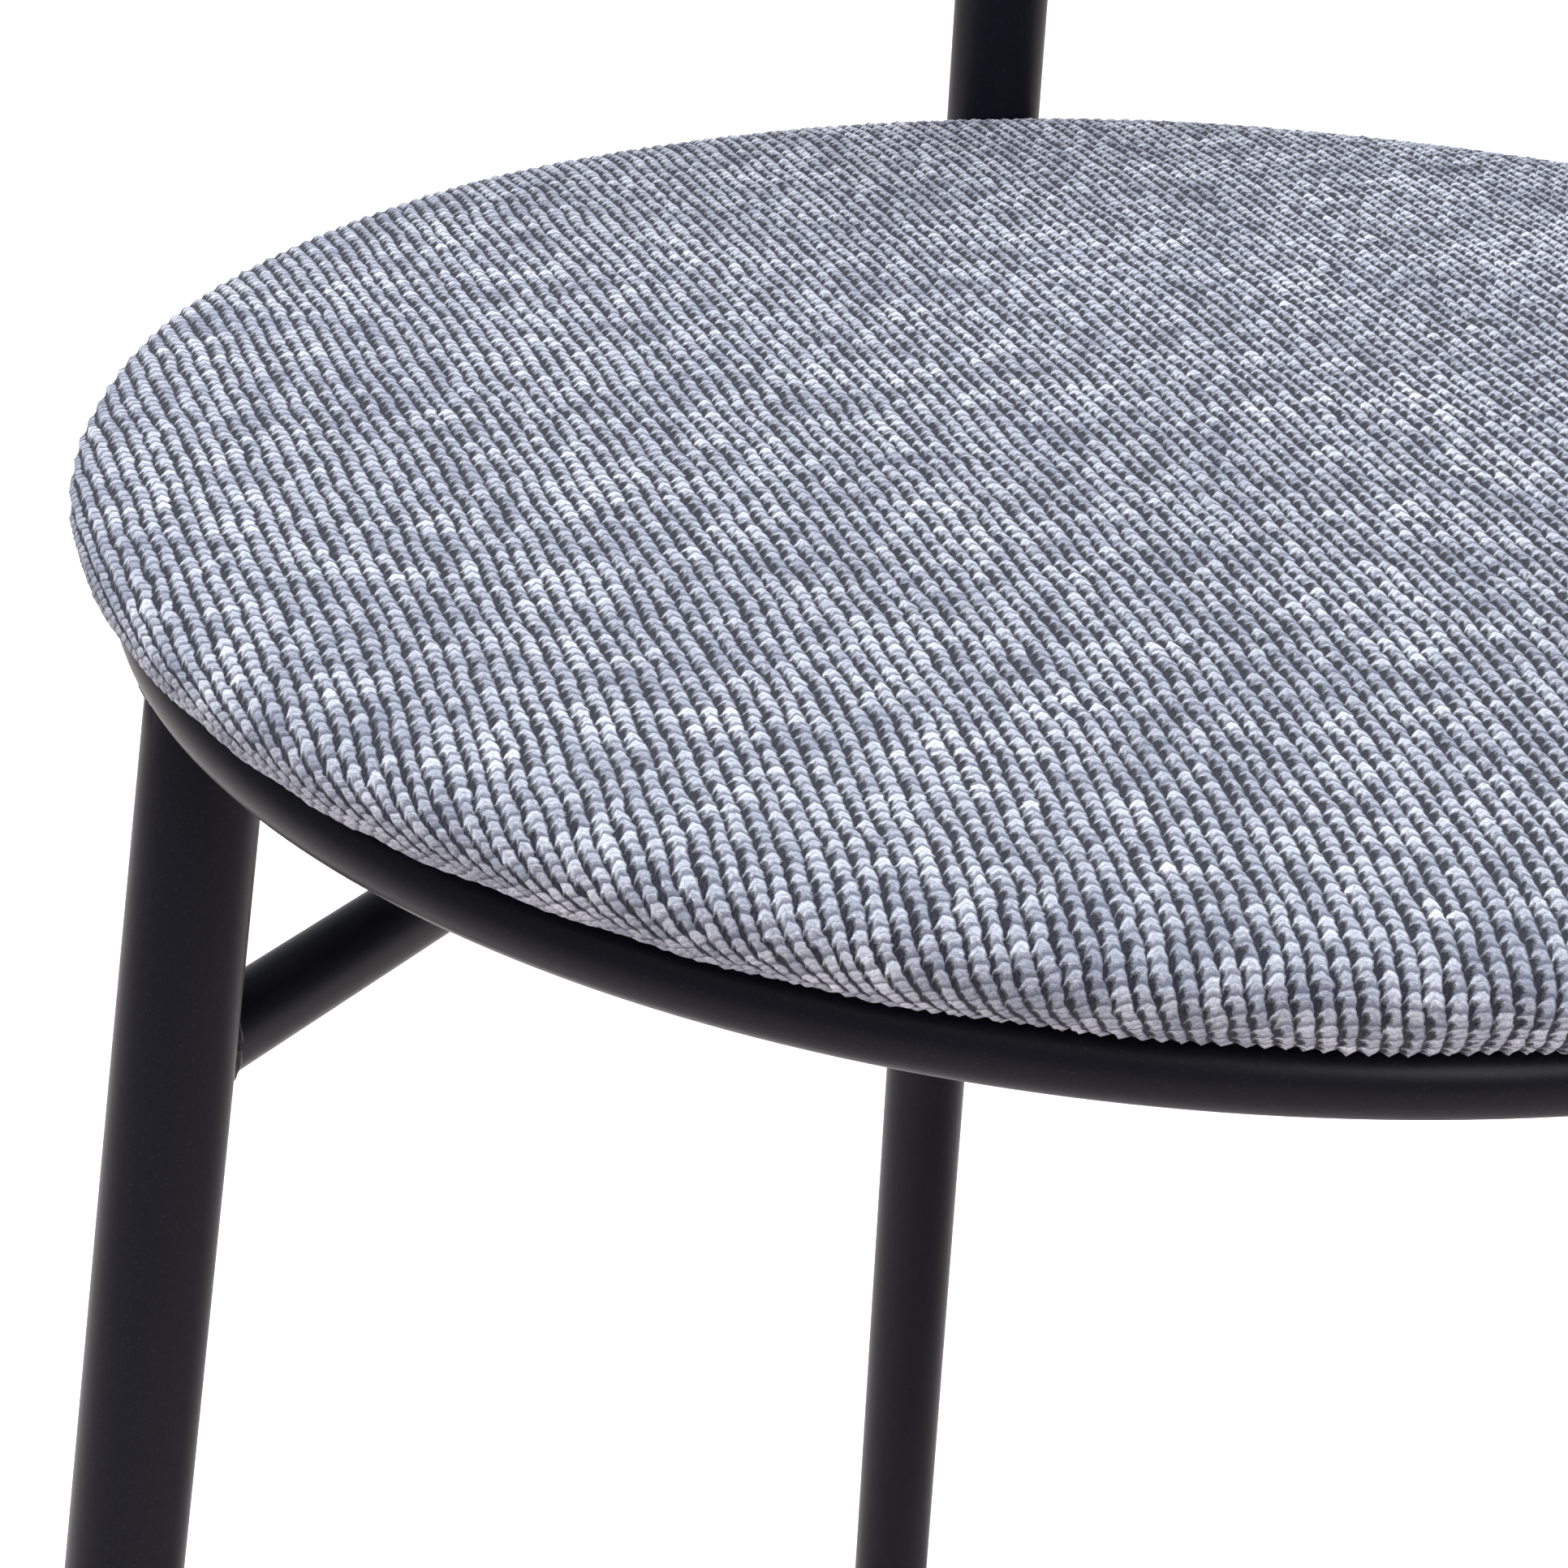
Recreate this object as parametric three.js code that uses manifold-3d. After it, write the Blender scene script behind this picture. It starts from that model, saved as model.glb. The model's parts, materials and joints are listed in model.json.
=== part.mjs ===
// Three-legged dining chair with a round upholstered seat and a curved upholstered backrest.
//
// A steel ring carries the seat pad. Two front legs are welded under the ring at its sides. One rear
// post runs from the floor past the back of the ring and on up to the backrest. Two stretchers slope
// down from the front legs to the rear post.
//
// Millimetres. +Z is up, +Y points to the rear of the chair, and +X is on the right seen from the
// front. The origin is on the floor, under the middle of the chair's outer box. Inside the group the
// pieces are laid out around the middle of the seat, with the floor at z = 0.

import * as THREE from 'three';
import { mergeVertices } from 'three/addons/utils/BufferGeometryUtils.js';
import Module from 'manifold-3d';

const wasm = await Module();
wasm.setup();

// ---------------------------------------------------------------- driving dimensions

const GAP = 0.3;                    // left between pieces that touch on the real chair
const RIGHT = 1;
const LEFT = -1;

const RING_HEIGHT = 434;            // floor to the centreline of the seat ring
const RING_RADIUS = 205;            // middle of the seat to the centreline of the ring
const RING_ROD_RADIUS = 6.5;        // 13 mm rod

const TUBE_RADIUS = 11;             // 22 mm tube for the post
const LEG_RADIUS = 11.4;            // slightly stouter tube for the front legs
const TUBE_WALL = 1.8;
const TAPER_START = 94;             // distance below the ring where the tubes begin to narrow
const TAPER_RATE = 0.0017;          // radius lost per millimetre of length

const LEG_BEARING = THREE.MathUtils.degToRad(80.2);    // leg's place round the seat, from the front
const LEG_CIRCLE = 196.4;           // middle of the seat to a front leg's axis, level with the ring
const LEG_SPREAD = 0.1266;          // sideways run of a front leg per millimetre of height
const LEG_RAKE = 0.185;             // forward run of a front leg per millimetre of height
const LEG_TOP = 6.5;                // end of a front leg above the centreline of the ring

const POST_SETBACK = RING_RADIUS + RING_ROD_RADIUS + TUBE_RADIUS + 0.4;
const POST_RAKE = 0.056;            // rearward run of the post, downwards, per millimetre of height
const POST_BEND_START = 70;         // height above the ring where the post begins to lean back
const POST_BEND_RADIUS = 260;
const POST_LEAN = THREE.MathUtils.degToRad(11);        // backward lean of the post above the bend
const POST_UPPER_LENGTH = 210;      // straight length of the post above the bend

const STRETCHER_RADIUS = 8;         // 16 mm tube
const STRETCHER_WALL = 1.5;
const STRETCHER_FRONT_DROP = 76.1;  // below the ring, at the front leg
const STRETCHER_REAR_DROP = 95.6;   // below the ring, at the rear post

const GLIDE_HEIGHT = 6;             // part of a glide that shows under its tube
const GLIDE_PLUG = 20;              // part of a glide inside its tube
const CAP_PLUG = 18;                // part of the post's cap inside the post
const CAP_RIM = 2;                  // straight rim of the cap
const CAP_ROUND = 2.5;              // rounding of the cap's edge
const CAP_HEIGHT = 5;

const COVER_RADIUS = 218.6;         // widest radius of the seat cover
const COVER_WIDEST = 16.7;          // height of that widest line above the ring
const COVER_THICKNESS = 1.3;
const COVER_BOTTOM = RING_ROD_RADIUS + 0.4;
const COVER_CROWN = 31;             // height of the middle of the seat above the ring
const COVER_SHOULDER = 27;          // height of the cover where the edge roll begins
const COVER_SHOULDER_RADIUS = 198;
const COVER_HEM_RADIUS = 192;       // inner edge of the hem under the seat board
const COVER_CROWN_RADIUS = 119;     // the nearly flat middle of the seat ends here
const COVER_CROWN_DROP = 1.4;       // fall of the cover from its middle to there
// How the cover's edge roll comes in and rises from its widest line, in two steps of [in, up].
const COVER_ROLL = [[1.6, 4.5], [7, 8]];

const BOARD_RADIUS = 208;
const BOARD_THICKNESS = 9;
const BOARD_BOTTOM = COVER_BOTTOM + COVER_THICKNESS + GAP;
const BOARD_TOP = BOARD_BOTTOM + BOARD_THICKNESS;
const DUST_COVER_THICKNESS = 1;

const TAB_COUNT = 4;
const TAB_THICKNESS = 3;
const TAB_WIDTH = 26;
const TAB_TOP = RING_ROD_RADIUS;
const SEAT_SCREW_RADIUS = 179;      // middle of the seat to each seat screw

const SCREW_RADIUS = 3;             // M6
const SCREW_HEAD_RADIUS = 5.4;
const SCREW_HEAD_HEIGHT = 3.3;
const SCREW_SOCKET_RADIUS = 2.2;
const SCREW_SOCKET_DEPTH = 2;
const SCREW_POINT = 0.8;            // chamfer at the end of the shank
const SCREW_HOLE_RADIUS = 3.4;
const WASHER_RADIUS = 6.4;
const WASHER_THICKNESS = 1.6;
const NUT_BARREL_RADIUS = 4.4;
const NUT_FLANGE_RADIUS = 9;
const NUT_FLANGE_THICKNESS = 1.4;

const BACK_CURVE_RADIUS = 320;      // middle of the backrest's curve to the axis of the post
const BACK_WIDTH = 420;
const BACK_HEIGHT = 160;
const BACK_CORNER_RADIUS = 52;
const BACK_HALF_ANGLE = THREE.MathUtils.degToRad(50);  // plan angle of the bands before trimming
const BACK_CUT_DEPTH = 300;         // depth of the outline that trims the bands
const BACK_MOUTH_MARGIN = 2;        // opening in the cover round the bracket
const BACK_CENTRE = 158;            // along the upper post, from the end of the bend
const BRACKET_THICKNESS = 3;
const BRACKET_WIDTH = 56;
const BRACKET_HEIGHT = 96;
const BACK_PANEL_THICKNESS = 9;
const BACK_FOAM_THICKNESS = 19;
const BACK_SCREW_X = 19.5;
const BACK_SCREW_Z = 32;

const BIG = 2000;                   // size of the blocks that trim the ends of tubes
const TRIM = 40;                    // spare length of a body that is cut to shape afterwards
const STRETCHER_COPE_DEPTH = 180;   // reach of a stretcher's copes below the ring

// Numbers of flat sides that stand for round shapes.
const RING_SIDES = 60;
const SEAT_SIDES = 48;
const TUBE_SIDES = 18;
const SMALL_SIDES = 12;
const POST_STEPS = 26;

// ---------------------------------------------------------------- materials

function steelFinish() {
  return new THREE.MeshStandardMaterial({ color: 0x16171b, roughness: 0.5, metalness: 0.3 });
}

function zincFinish() {
  return new THREE.MeshStandardMaterial({ color: 0xa8abae, roughness: 0.35, metalness: 0.9 });
}

function fabricFinish() {
  return new THREE.MeshStandardMaterial({ color: 0x8a92a0, roughness: 0.95, metalness: 0 });
}

function foamFinish() {
  return new THREE.MeshStandardMaterial({ color: 0xe6dcc0, roughness: 0.9, metalness: 0 });
}

function plywoodFinish() {
  return new THREE.MeshStandardMaterial({ color: 0xc9a877, roughness: 0.7, metalness: 0 });
}

function linerFinish() {
  return new THREE.MeshStandardMaterial({ color: 0x1c1c1e, roughness: 0.95, metalness: 0 });
}

function plasticFinish() {
  return new THREE.MeshStandardMaterial({ color: 0x1a1a1c, roughness: 0.6, metalness: 0 });
}

// ---------------------------------------------------------------- solids and placing

// A closed geometry as a solid: shared vertices merged, and the flat triangles on an axis dropped.
function solid(geometry) {
  const bare = geometry.clone();
  bare.deleteAttribute('normal');
  bare.deleteAttribute('uv');
  const merged = mergeVertices(bare, 1e-4);
  const corners = merged.index.array;
  const kept = [];
  for (let i = 0; i < corners.length; i += 3) {
    const [a, b, c] = corners.slice(i, i + 3);
    if (a !== b && b !== c && c !== a) {
      kept.push(a, b, c);
    }
  }
  const vertProperties = merged.attributes.position.array;
  const triVerts = new Uint32Array(kept);
  return new wasm.Manifold(new wasm.Mesh({ numProp: 3, vertProperties, triVerts }));
}

function geometryOf(body) {
  const { vertProperties, triVerts } = body.getMesh();
  const geometry = new THREE.BufferGeometry();
  geometry.setAttribute('position', new THREE.BufferAttribute(vertProperties, 3));
  geometry.setIndex(new THREE.BufferAttribute(triVerts, 1));
  geometry.computeVertexNormals();
  return geometry;
}

function piece(name, body, material) {
  const mesh = new THREE.Mesh(geometryOf(body), material);
  mesh.name = name;
  return mesh;
}

// A body turned about the Z axis from a profile of [radius, height] points, listed anticlockwise
// with the radius to the right and the height up.
function turned(profile, segments) {
  const points = profile.map(([radius, height]) => new THREE.Vector2(radius, height));
  const geometry = new THREE.LatheGeometry(points, segments);
  geometry.rotateX(Math.PI / 2);
  return geometry;
}

function closedProfile(points) {
  return [...points, points[0]];
}

function block(width, depth, height, x, y, z) {
  const geometry = new THREE.BoxGeometry(width, depth, height);
  geometry.translate(x, y, z);
  return solid(geometry);
}

// Points of an arc in the profile plane, from one angle to the other in degrees.
function arc(radius, height, size, from, to, steps) {
  const points = [];
  for (let i = 0; i <= steps; i += 1) {
    const angle = THREE.MathUtils.degToRad(from + (to - from) * i / steps);
    points.push([radius + size * Math.cos(angle), height + size * Math.sin(angle)]);
  }
  return points;
}

function cylinder(radius, from, to, segments = TUBE_SIDES) {
  return turned([[0, from], [radius, from], [radius, to], [0, to]], segments);
}

// Turns geometry built along +Z so that it runs along a direction through a point.
function along(geometry, point, direction) {
  const turn = new THREE.Quaternion();
  turn.setFromUnitVectors(new THREE.Vector3(0, 0, 1), direction.clone().normalize());
  const place = new THREE.Matrix4();
  place.compose(point, turn, new THREE.Vector3(1, 1, 1));
  return geometry.clone().applyMatrix4(place);
}

// ---------------------------------------------------------------- axes of the frame

// A point on the axis of a front leg, at a height above the ring.
function legPoint(side, height) {
  const x = side * (LEG_CIRCLE * Math.sin(LEG_BEARING) - LEG_SPREAD * height);
  const y = -LEG_CIRCLE * Math.cos(LEG_BEARING) + LEG_RAKE * height;
  return new THREE.Vector3(x, y, RING_HEIGHT + height);
}

function legDirection(side) {
  return legPoint(side, 1).sub(legPoint(side, 0)).normalize();
}

// A point on the axis of the lower, straight part of the post, at a height above the ring.
function postPoint(height) {
  return new THREE.Vector3(0, POST_SETBACK - POST_RAKE * height, RING_HEIGHT + height);
}

function postDirection() {
  return postPoint(1).sub(postPoint(0)).normalize();
}

// The bend of the post: it starts along the lower axis and ends at the upper lean.
const bendStart = postPoint(POST_BEND_START);
const lowerTilt = Math.atan(POST_RAKE);
const bendCentreY = bendStart.y + POST_BEND_RADIUS * Math.cos(lowerTilt);
const bendCentreZ = bendStart.z + POST_BEND_RADIUS * Math.sin(lowerTilt);
const upperDirection = new THREE.Vector3(0, Math.sin(POST_LEAN), Math.cos(POST_LEAN));

// A point on the bend, where the tilt runs from minus the lower tilt to the upper lean.
function bendPoint(tilt) {
  const y = bendCentreY - POST_BEND_RADIUS * Math.cos(tilt);
  const z = bendCentreZ + POST_BEND_RADIUS * Math.sin(tilt);
  return new THREE.Vector3(0, y, z);
}

const bendEnd = bendPoint(POST_LEAN);
const postTop = bendEnd.clone().addScaledVector(upperDirection, POST_UPPER_LENGTH);

// Outer radius of a leg or the post, at a distance along its axis from the ring.
function tubeRadius(distance, full) {
  return full - TAPER_RATE * Math.max(0, -distance - TAPER_START);
}

// ---------------------------------------------------------------- frame

function seatRing() {
  const ring = new THREE.TorusGeometry(RING_RADIUS, RING_ROD_RADIUS, 12, RING_SIDES);
  ring.translate(0, 0, RING_HEIGHT);
  return piece('seat_ring', solid(ring), steelFinish());
}

// The saddle that the ring lies in: the ring's section, open upwards.
function ringSaddle() {
  const size = RING_ROD_RADIUS + GAP;
  const bottom = arc(RING_RADIUS, 0, size, 180, 360, 10);
  const top = [[RING_RADIUS + size, TRIM], [RING_RADIUS - size, TRIM]];
  const profile = closedProfile([...bottom, ...top]);
  const saddle = turned(profile, RING_SIDES);
  saddle.translate(0, 0, RING_HEIGHT);
  return solid(saddle);
}

// A front leg's tapered tube, along +Z with the ring at zero.
function taperedTube(from, to) {
  const radius = tubeRadius(from, LEG_RADIUS);
  const bore = LEG_RADIUS - TUBE_WALL;
  const outer = [[radius, from], [LEG_RADIUS, -TAPER_START], [LEG_RADIUS, to]];
  const inner = [[bore, to], [bore, -TAPER_START], [radius - TUBE_WALL, from]];
  return turned(closedProfile([...outer, ...inner]), TUBE_SIDES);
}

function trimmedToHeights(body, low, high) {
  const below = block(BIG, BIG, BIG, 0, 0, low - BIG / 2);
  const above = block(BIG, BIG, BIG, 0, 0, high + BIG / 2);
  return body.subtract(below).subtract(above);
}

function frontLeg(name, side) {
  const tube = along(taperedTube(-RING_HEIGHT - TRIM, TRIM), legPoint(side, 0), legDirection(side));
  const trimmed = trimmedToHeights(solid(tube), GLIDE_HEIGHT, RING_HEIGHT + LEG_TOP);
  return piece(name, trimmed.subtract(ringSaddle()), steelFinish());
}

// The axis of the post from below the floor to its top.
function postPath() {
  const path = new THREE.CurvePath();
  const points = [];
  for (let i = 0; i <= 8; i += 1) {
    points.push(bendPoint(-lowerTilt + (POST_LEAN + lowerTilt) * i / 8));
  }
  path.add(new THREE.LineCurve3(postPoint(-RING_HEIGHT - 4), points[0]));
  for (let i = 0; i < 8; i += 1) {
    path.add(new THREE.LineCurve3(points[i], points[i + 1]));
  }
  path.add(new THREE.LineCurve3(points[8], postTop));
  return path;
}

// Narrows the lower post as the legs narrow, towards its own axis.
function taperPost(geometry) {
  const position = geometry.attributes.position;
  const origin = postPoint(0);
  const axis = postDirection();
  const point = new THREE.Vector3();
  for (let i = 0; i < position.count; i += 1) {
    point.fromBufferAttribute(position, i).sub(origin);
    const distance = point.dot(axis);
    const foot = axis.clone().multiplyScalar(distance);
    const arm = point.clone().sub(foot);
    const loss = TUBE_RADIUS - tubeRadius(distance, TUBE_RADIUS);
    arm.setLength(arm.length() - loss);
    point.copy(origin).add(foot).add(arm);
    position.setXYZ(i, point.x, point.y, point.z);
  }
}

function rearPost() {
  const section = new THREE.Shape();
  section.absarc(0, 0, TUBE_RADIUS, 0, 2 * Math.PI);
  const bore = new THREE.Path();
  bore.absarc(0, 0, TUBE_RADIUS - TUBE_WALL, 0, 2 * Math.PI);
  section.holes.push(bore);
  const options = { steps: POST_STEPS, curveSegments: TUBE_SIDES / 2, extrudePath: postPath() };
  const tube = new THREE.ExtrudeGeometry(section, options);
  taperPost(tube);
  const trimmed = trimmedToHeights(solid(tube), GLIDE_HEIGHT, BIG);
  return piece('rear_post', trimmed, steelFinish());
}

// A stretcher, with both ends coped to the tubes that they meet and to the other stretcher.
function stretcher(name, side) {
  const front = legPoint(side, -STRETCHER_FRONT_DROP);
  const rear = postPoint(-STRETCHER_REAR_DROP);
  const run = rear.clone().sub(front);
  const inner = STRETCHER_RADIUS - STRETCHER_WALL;
  const length = run.length();
  const wall = [[STRETCHER_RADIUS, 0], [STRETCHER_RADIUS, length], [inner, length], [inner, 0]];
  const tube = solid(along(turned(closedProfile(wall), TUBE_SIDES), front, run));
  const legBody = cylinder(LEG_RADIUS + GAP, -STRETCHER_COPE_DEPTH, 0, 24);
  const postBody = cylinder(TUBE_RADIUS + GAP, -STRETCHER_COPE_DEPTH, 0, 24);
  const legCope = solid(along(legBody, legPoint(side, 0), legDirection(side)));
  const postCope = solid(along(postBody, postPoint(0), postDirection()));
  const middle = block(BIG, BIG, BIG, -side * (BIG / 2 - GAP / 2), 0, 0);
  return piece(name, tube.subtract(legCope).subtract(postCope).subtract(middle), steelFinish());
}

// A tab welded inside the ring, with a hole for a seat screw.
function seatTab(name, angle) {
  const outline = new THREE.Shape();
  outline.moveTo(RING_RADIUS, -TAB_WIDTH / 2);
  outline.lineTo(RING_RADIUS, TAB_WIDTH / 2);
  outline.lineTo(SEAT_SCREW_RADIUS, TAB_WIDTH / 2);
  outline.absarc(SEAT_SCREW_RADIUS, 0, TAB_WIDTH / 2, Math.PI / 2, Math.PI * 1.5);
  const hole = new THREE.Path();
  hole.absarc(SEAT_SCREW_RADIUS, 0, SCREW_HOLE_RADIUS, 0, 2 * Math.PI);
  outline.holes.push(hole);
  const plate = new THREE.ExtrudeGeometry(outline, {
    depth: TAB_THICKNESS, bevelEnabled: false, curveSegments: 6,
  });
  plate.translate(0, 0, TAB_TOP - TAB_THICKNESS);
  plate.rotateZ(angle);
  plate.translate(0, 0, RING_HEIGHT);
  return piece(name, solid(plate).subtract(ringSaddle()), steelFinish());
}

// ---------------------------------------------------------------- glides and cap

// A plastic glide: a foot under the tube's end with a plug up inside it.
function glide(name, point, direction, full) {
  const radius = tubeRadius(-RING_HEIGHT, full);
  const foot = along(cylinder(radius, -RING_HEIGHT - TRIM, 0), point, direction);
  const shownFoot = trimmedToHeights(solid(foot), 0, GLIDE_HEIGHT - GAP);
  const plugRadius = radius - TUBE_WALL - GAP;
  const plug = along(cylinder(plugRadius, -RING_HEIGHT - TRIM, 0), point, direction);
  const shownPlug = trimmedToHeights(solid(plug), GLIDE_HEIGHT / 2, GLIDE_HEIGHT + GLIDE_PLUG);
  return piece(name, shownFoot.add(shownPlug), plasticFinish());
}

// A domed plug that closes the top of the post.
function postCap() {
  const plug = TUBE_RADIUS - TUBE_WALL - GAP;
  const inside = [[0, -CAP_PLUG], [plug, -CAP_PLUG], [plug, GAP]];
  const edge = arc(TUBE_RADIUS - CAP_ROUND, CAP_RIM, CAP_ROUND, 30, 90, 2);
  const outside = [[TUBE_RADIUS, GAP], [TUBE_RADIUS, CAP_RIM], ...edge, [0, CAP_HEIGHT]];
  const profile = [...inside, ...outside];
  const cap = along(turned(profile, TUBE_SIDES), postTop, upperDirection);
  return piece('post_cap', solid(cap), plasticFinish());
}

// ---------------------------------------------------------------- fasteners, along +Z

// A button-head screw: the bearing face of its head at zero, its shank upwards.
function screw(length) {
  const profile = [[0, -SCREW_HEAD_HEIGHT], [SCREW_HEAD_RADIUS * 0.6, -SCREW_HEAD_HEIGHT]];
  profile.push([SCREW_HEAD_RADIUS * 0.9, -SCREW_HEAD_HEIGHT * 0.6], [SCREW_HEAD_RADIUS, 0]);
  profile.push([SCREW_RADIUS, 0], [SCREW_RADIUS, length - SCREW_POINT]);
  profile.push([SCREW_RADIUS - SCREW_POINT, length], [0, length]);
  const body = solid(turned(profile, SMALL_SIDES));
  const depth = -SCREW_HEAD_HEIGHT + SCREW_SOCKET_DEPTH;
  const socket = solid(cylinder(SCREW_SOCKET_RADIUS, -SCREW_HEAD_HEIGHT - 1, depth, 6));
  return geometryOf(body.subtract(socket));
}

function washer() {
  const low = -WASHER_THICKNESS;
  const ring = [[SCREW_HOLE_RADIUS, low], [WASHER_RADIUS, low], [WASHER_RADIUS, 0]];
  return turned(closedProfile([...ring, [SCREW_HOLE_RADIUS, 0]]), SMALL_SIDES);
}

// A tee nut that lies in a board: its barrel from zero, its flange flush with the board's far face.
function teeNut(boardThickness) {
  const flange = boardThickness - NUT_FLANGE_THICKNESS;
  const outer = [[NUT_BARREL_RADIUS, 1], [NUT_BARREL_RADIUS, flange], [NUT_FLANGE_RADIUS, flange]];
  const top = [[NUT_FLANGE_RADIUS, boardThickness], [SCREW_HOLE_RADIUS, boardThickness]];
  return turned(closedProfile([[SCREW_HOLE_RADIUS, 1], ...outer, ...top]), SMALL_SIDES);
}

// The hole that a tee nut leaves in its board.
function teeNutHole(boardThickness) {
  const barrel = NUT_BARREL_RADIUS + GAP;
  const flange = boardThickness - NUT_FLANGE_THICKNESS - GAP;
  const head = NUT_FLANGE_RADIUS + GAP;
  const far = boardThickness + TRIM;
  const wall = [[barrel, -TRIM], [barrel, flange], [head, flange], [head, far]];
  return turned([[0, -TRIM], ...wall, [0, far]], SMALL_SIDES);
}

// ---------------------------------------------------------------- seat

const seatScrewAngles = [];
for (let i = 0; i < TAB_COUNT; i += 1) {
  seatScrewAngles.push((i + 0.5) * 2 * Math.PI / TAB_COUNT);
}
const seatScrewNames = ['rear_right', 'rear_left', 'front_left', 'front_right'];

function atSeatScrew(geometry, angle, height) {
  const placed = geometry.clone();
  const x = SEAT_SCREW_RADIUS * Math.cos(angle);
  const y = SEAT_SCREW_RADIUS * Math.sin(angle);
  placed.translate(x, y, RING_HEIGHT + height);
  return placed;
}

// Outer profile of the upholstered seat, inset by a distance, above the ring.
function padProfile(inset) {
  const roll = COVER_WIDEST - COVER_BOTTOM;
  const rollRadius = COVER_RADIUS - roll;
  const shoulderHeight = COVER_SHOULDER - inset;
  const bottom = COVER_BOTTOM + inset;
  const lower = arc(rollRadius, COVER_WIDEST, roll - inset, -90, 0, 4);
  const upper = COVER_ROLL.map(([inwards, up]) => [COVER_RADIUS - inwards - inset, COVER_WIDEST + up]);
  upper.push([COVER_SHOULDER_RADIUS, shoulderHeight]);
  upper.push([COVER_CROWN_RADIUS, COVER_CROWN - COVER_CROWN_DROP - inset]);
  return [[0, bottom], ...lower, ...upper, [0, COVER_CROWN - inset]];
}

function padBody(inset) {
  const body = turned(padProfile(inset), SEAT_SIDES);
  body.translate(0, 0, RING_HEIGHT);
  return solid(body);
}

// The relief in the seat's rear edge where the post passes it.
function postRelief(clearance) {
  const cutter = cylinder(TUBE_RADIUS + clearance, -TRIM, 2 * TRIM, 24);
  return solid(along(cutter, postPoint(0), postDirection()));
}

function seatCover() {
  const outside = padBody(0).subtract(postRelief(GAP));
  const inside = padBody(COVER_THICKNESS).subtract(postRelief(GAP + COVER_THICKNESS));
  const mouth = cylinder(COVER_HEM_RADIUS, COVER_BOTTOM - 5, COVER_BOTTOM + 3, SEAT_SIDES);
  mouth.translate(0, 0, RING_HEIGHT);
  return piece('seat_cover', outside.subtract(inside).subtract(solid(mouth)), fabricFinish());
}

function seatFoam() {
  const inset = COVER_THICKNESS + GAP;
  const outside = padBody(inset).subtract(postRelief(2 * GAP + COVER_THICKNESS));
  const board = cylinder(BOARD_RADIUS + GAP, -TRIM, BOARD_TOP + GAP, SEAT_SIDES);
  board.translate(0, 0, RING_HEIGHT);
  return piece('seat_foam', outside.subtract(solid(board)), foamFinish());
}

function seatBoard() {
  const disc = cylinder(BOARD_RADIUS, BOARD_BOTTOM, BOARD_TOP, SEAT_SIDES);
  disc.translate(0, 0, RING_HEIGHT);
  let board = solid(disc);
  const hole = teeNutHole(BOARD_THICKNESS);
  for (const angle of seatScrewAngles) {
    board = board.subtract(solid(atSeatScrew(hole, angle, BOARD_BOTTOM)));
  }
  return piece('seat_board', board, plywoodFinish());
}

// The black liner under the board, inside the hem of the cover.
function seatLiner() {
  const low = BOARD_BOTTOM - GAP - DUST_COVER_THICKNESS;
  const disc = cylinder(COVER_HEM_RADIUS - 0.5, low, BOARD_BOTTOM - GAP, SEAT_SIDES);
  disc.translate(0, 0, RING_HEIGHT);
  let liner = solid(disc);
  for (const angle of seatScrewAngles) {
    const hole = cylinder(NUT_BARREL_RADIUS, -TRIM, TRIM, SMALL_SIDES);
    liner = liner.subtract(solid(atSeatScrew(hole, angle, 0)));
  }
  return piece('seat_liner', liner, linerFinish());
}

function seatFasteners() {
  const group = new THREE.Group();
  const washerHeight = TAB_TOP - TAB_THICKNESS - GAP;
  const screwHeight = washerHeight - WASHER_THICKNESS - GAP;
  const screwLength = BOARD_TOP - screwHeight - 1;
  seatScrewAngles.forEach((angle, i) => {
    const place = seatScrewNames[i];
    const nut = solid(atSeatScrew(teeNut(BOARD_THICKNESS), angle, BOARD_BOTTOM));
    const ring = solid(atSeatScrew(washer(), angle, washerHeight));
    const bolt = solid(atSeatScrew(screw(screwLength), angle, screwHeight));
    group.add(seatTab(`seat_tab_${place}`, angle));
    group.add(piece(`seat_tee_nut_${place}`, nut, zincFinish()));
    group.add(piece(`seat_washer_${place}`, ring, zincFinish()));
    group.add(piece(`seat_screw_${place}`, bolt, zincFinish()));
  });
  return group;
}

// ---------------------------------------------------------------- backrest
// Built in a leaning group: the axis of the post is its Z axis, and the sitter is at -Y. Every layer
// is a band around a vertical line in front of the post.

const plateOuter = BACK_CURVE_RADIUS - TUBE_RADIUS - GAP;
const plateInner = plateOuter - BRACKET_THICKNESS;
const panelOuter = plateInner - GAP;
const panelInner = panelOuter - BACK_PANEL_THICKNESS;
const foamOuter = panelInner - GAP;
const foamInner = foamOuter - BACK_FOAM_THICKNESS;
const coverOuter = panelOuter + GAP + COVER_THICKNESS;
const coverInner = foamInner - GAP - COVER_THICKNESS;

function curvedBand(inner, outer, width, height, corner) {
  const from = Math.PI / 2 - BACK_HALF_ANGLE;
  const to = Math.PI / 2 + BACK_HALF_ANGLE;
  const plan = new THREE.Shape();
  plan.absarc(0, 0, outer, from, to, false);
  plan.absarc(0, 0, inner, to, from, true);
  const band = new THREE.ExtrudeGeometry(plan, {
    depth: height + 2 * TRIM, bevelEnabled: false, curveSegments: 20,
  });
  band.translate(0, -BACK_CURVE_RADIUS, -height / 2 - TRIM);
  return solid(band).intersect(roundedFront(width, height, corner));
}

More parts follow.
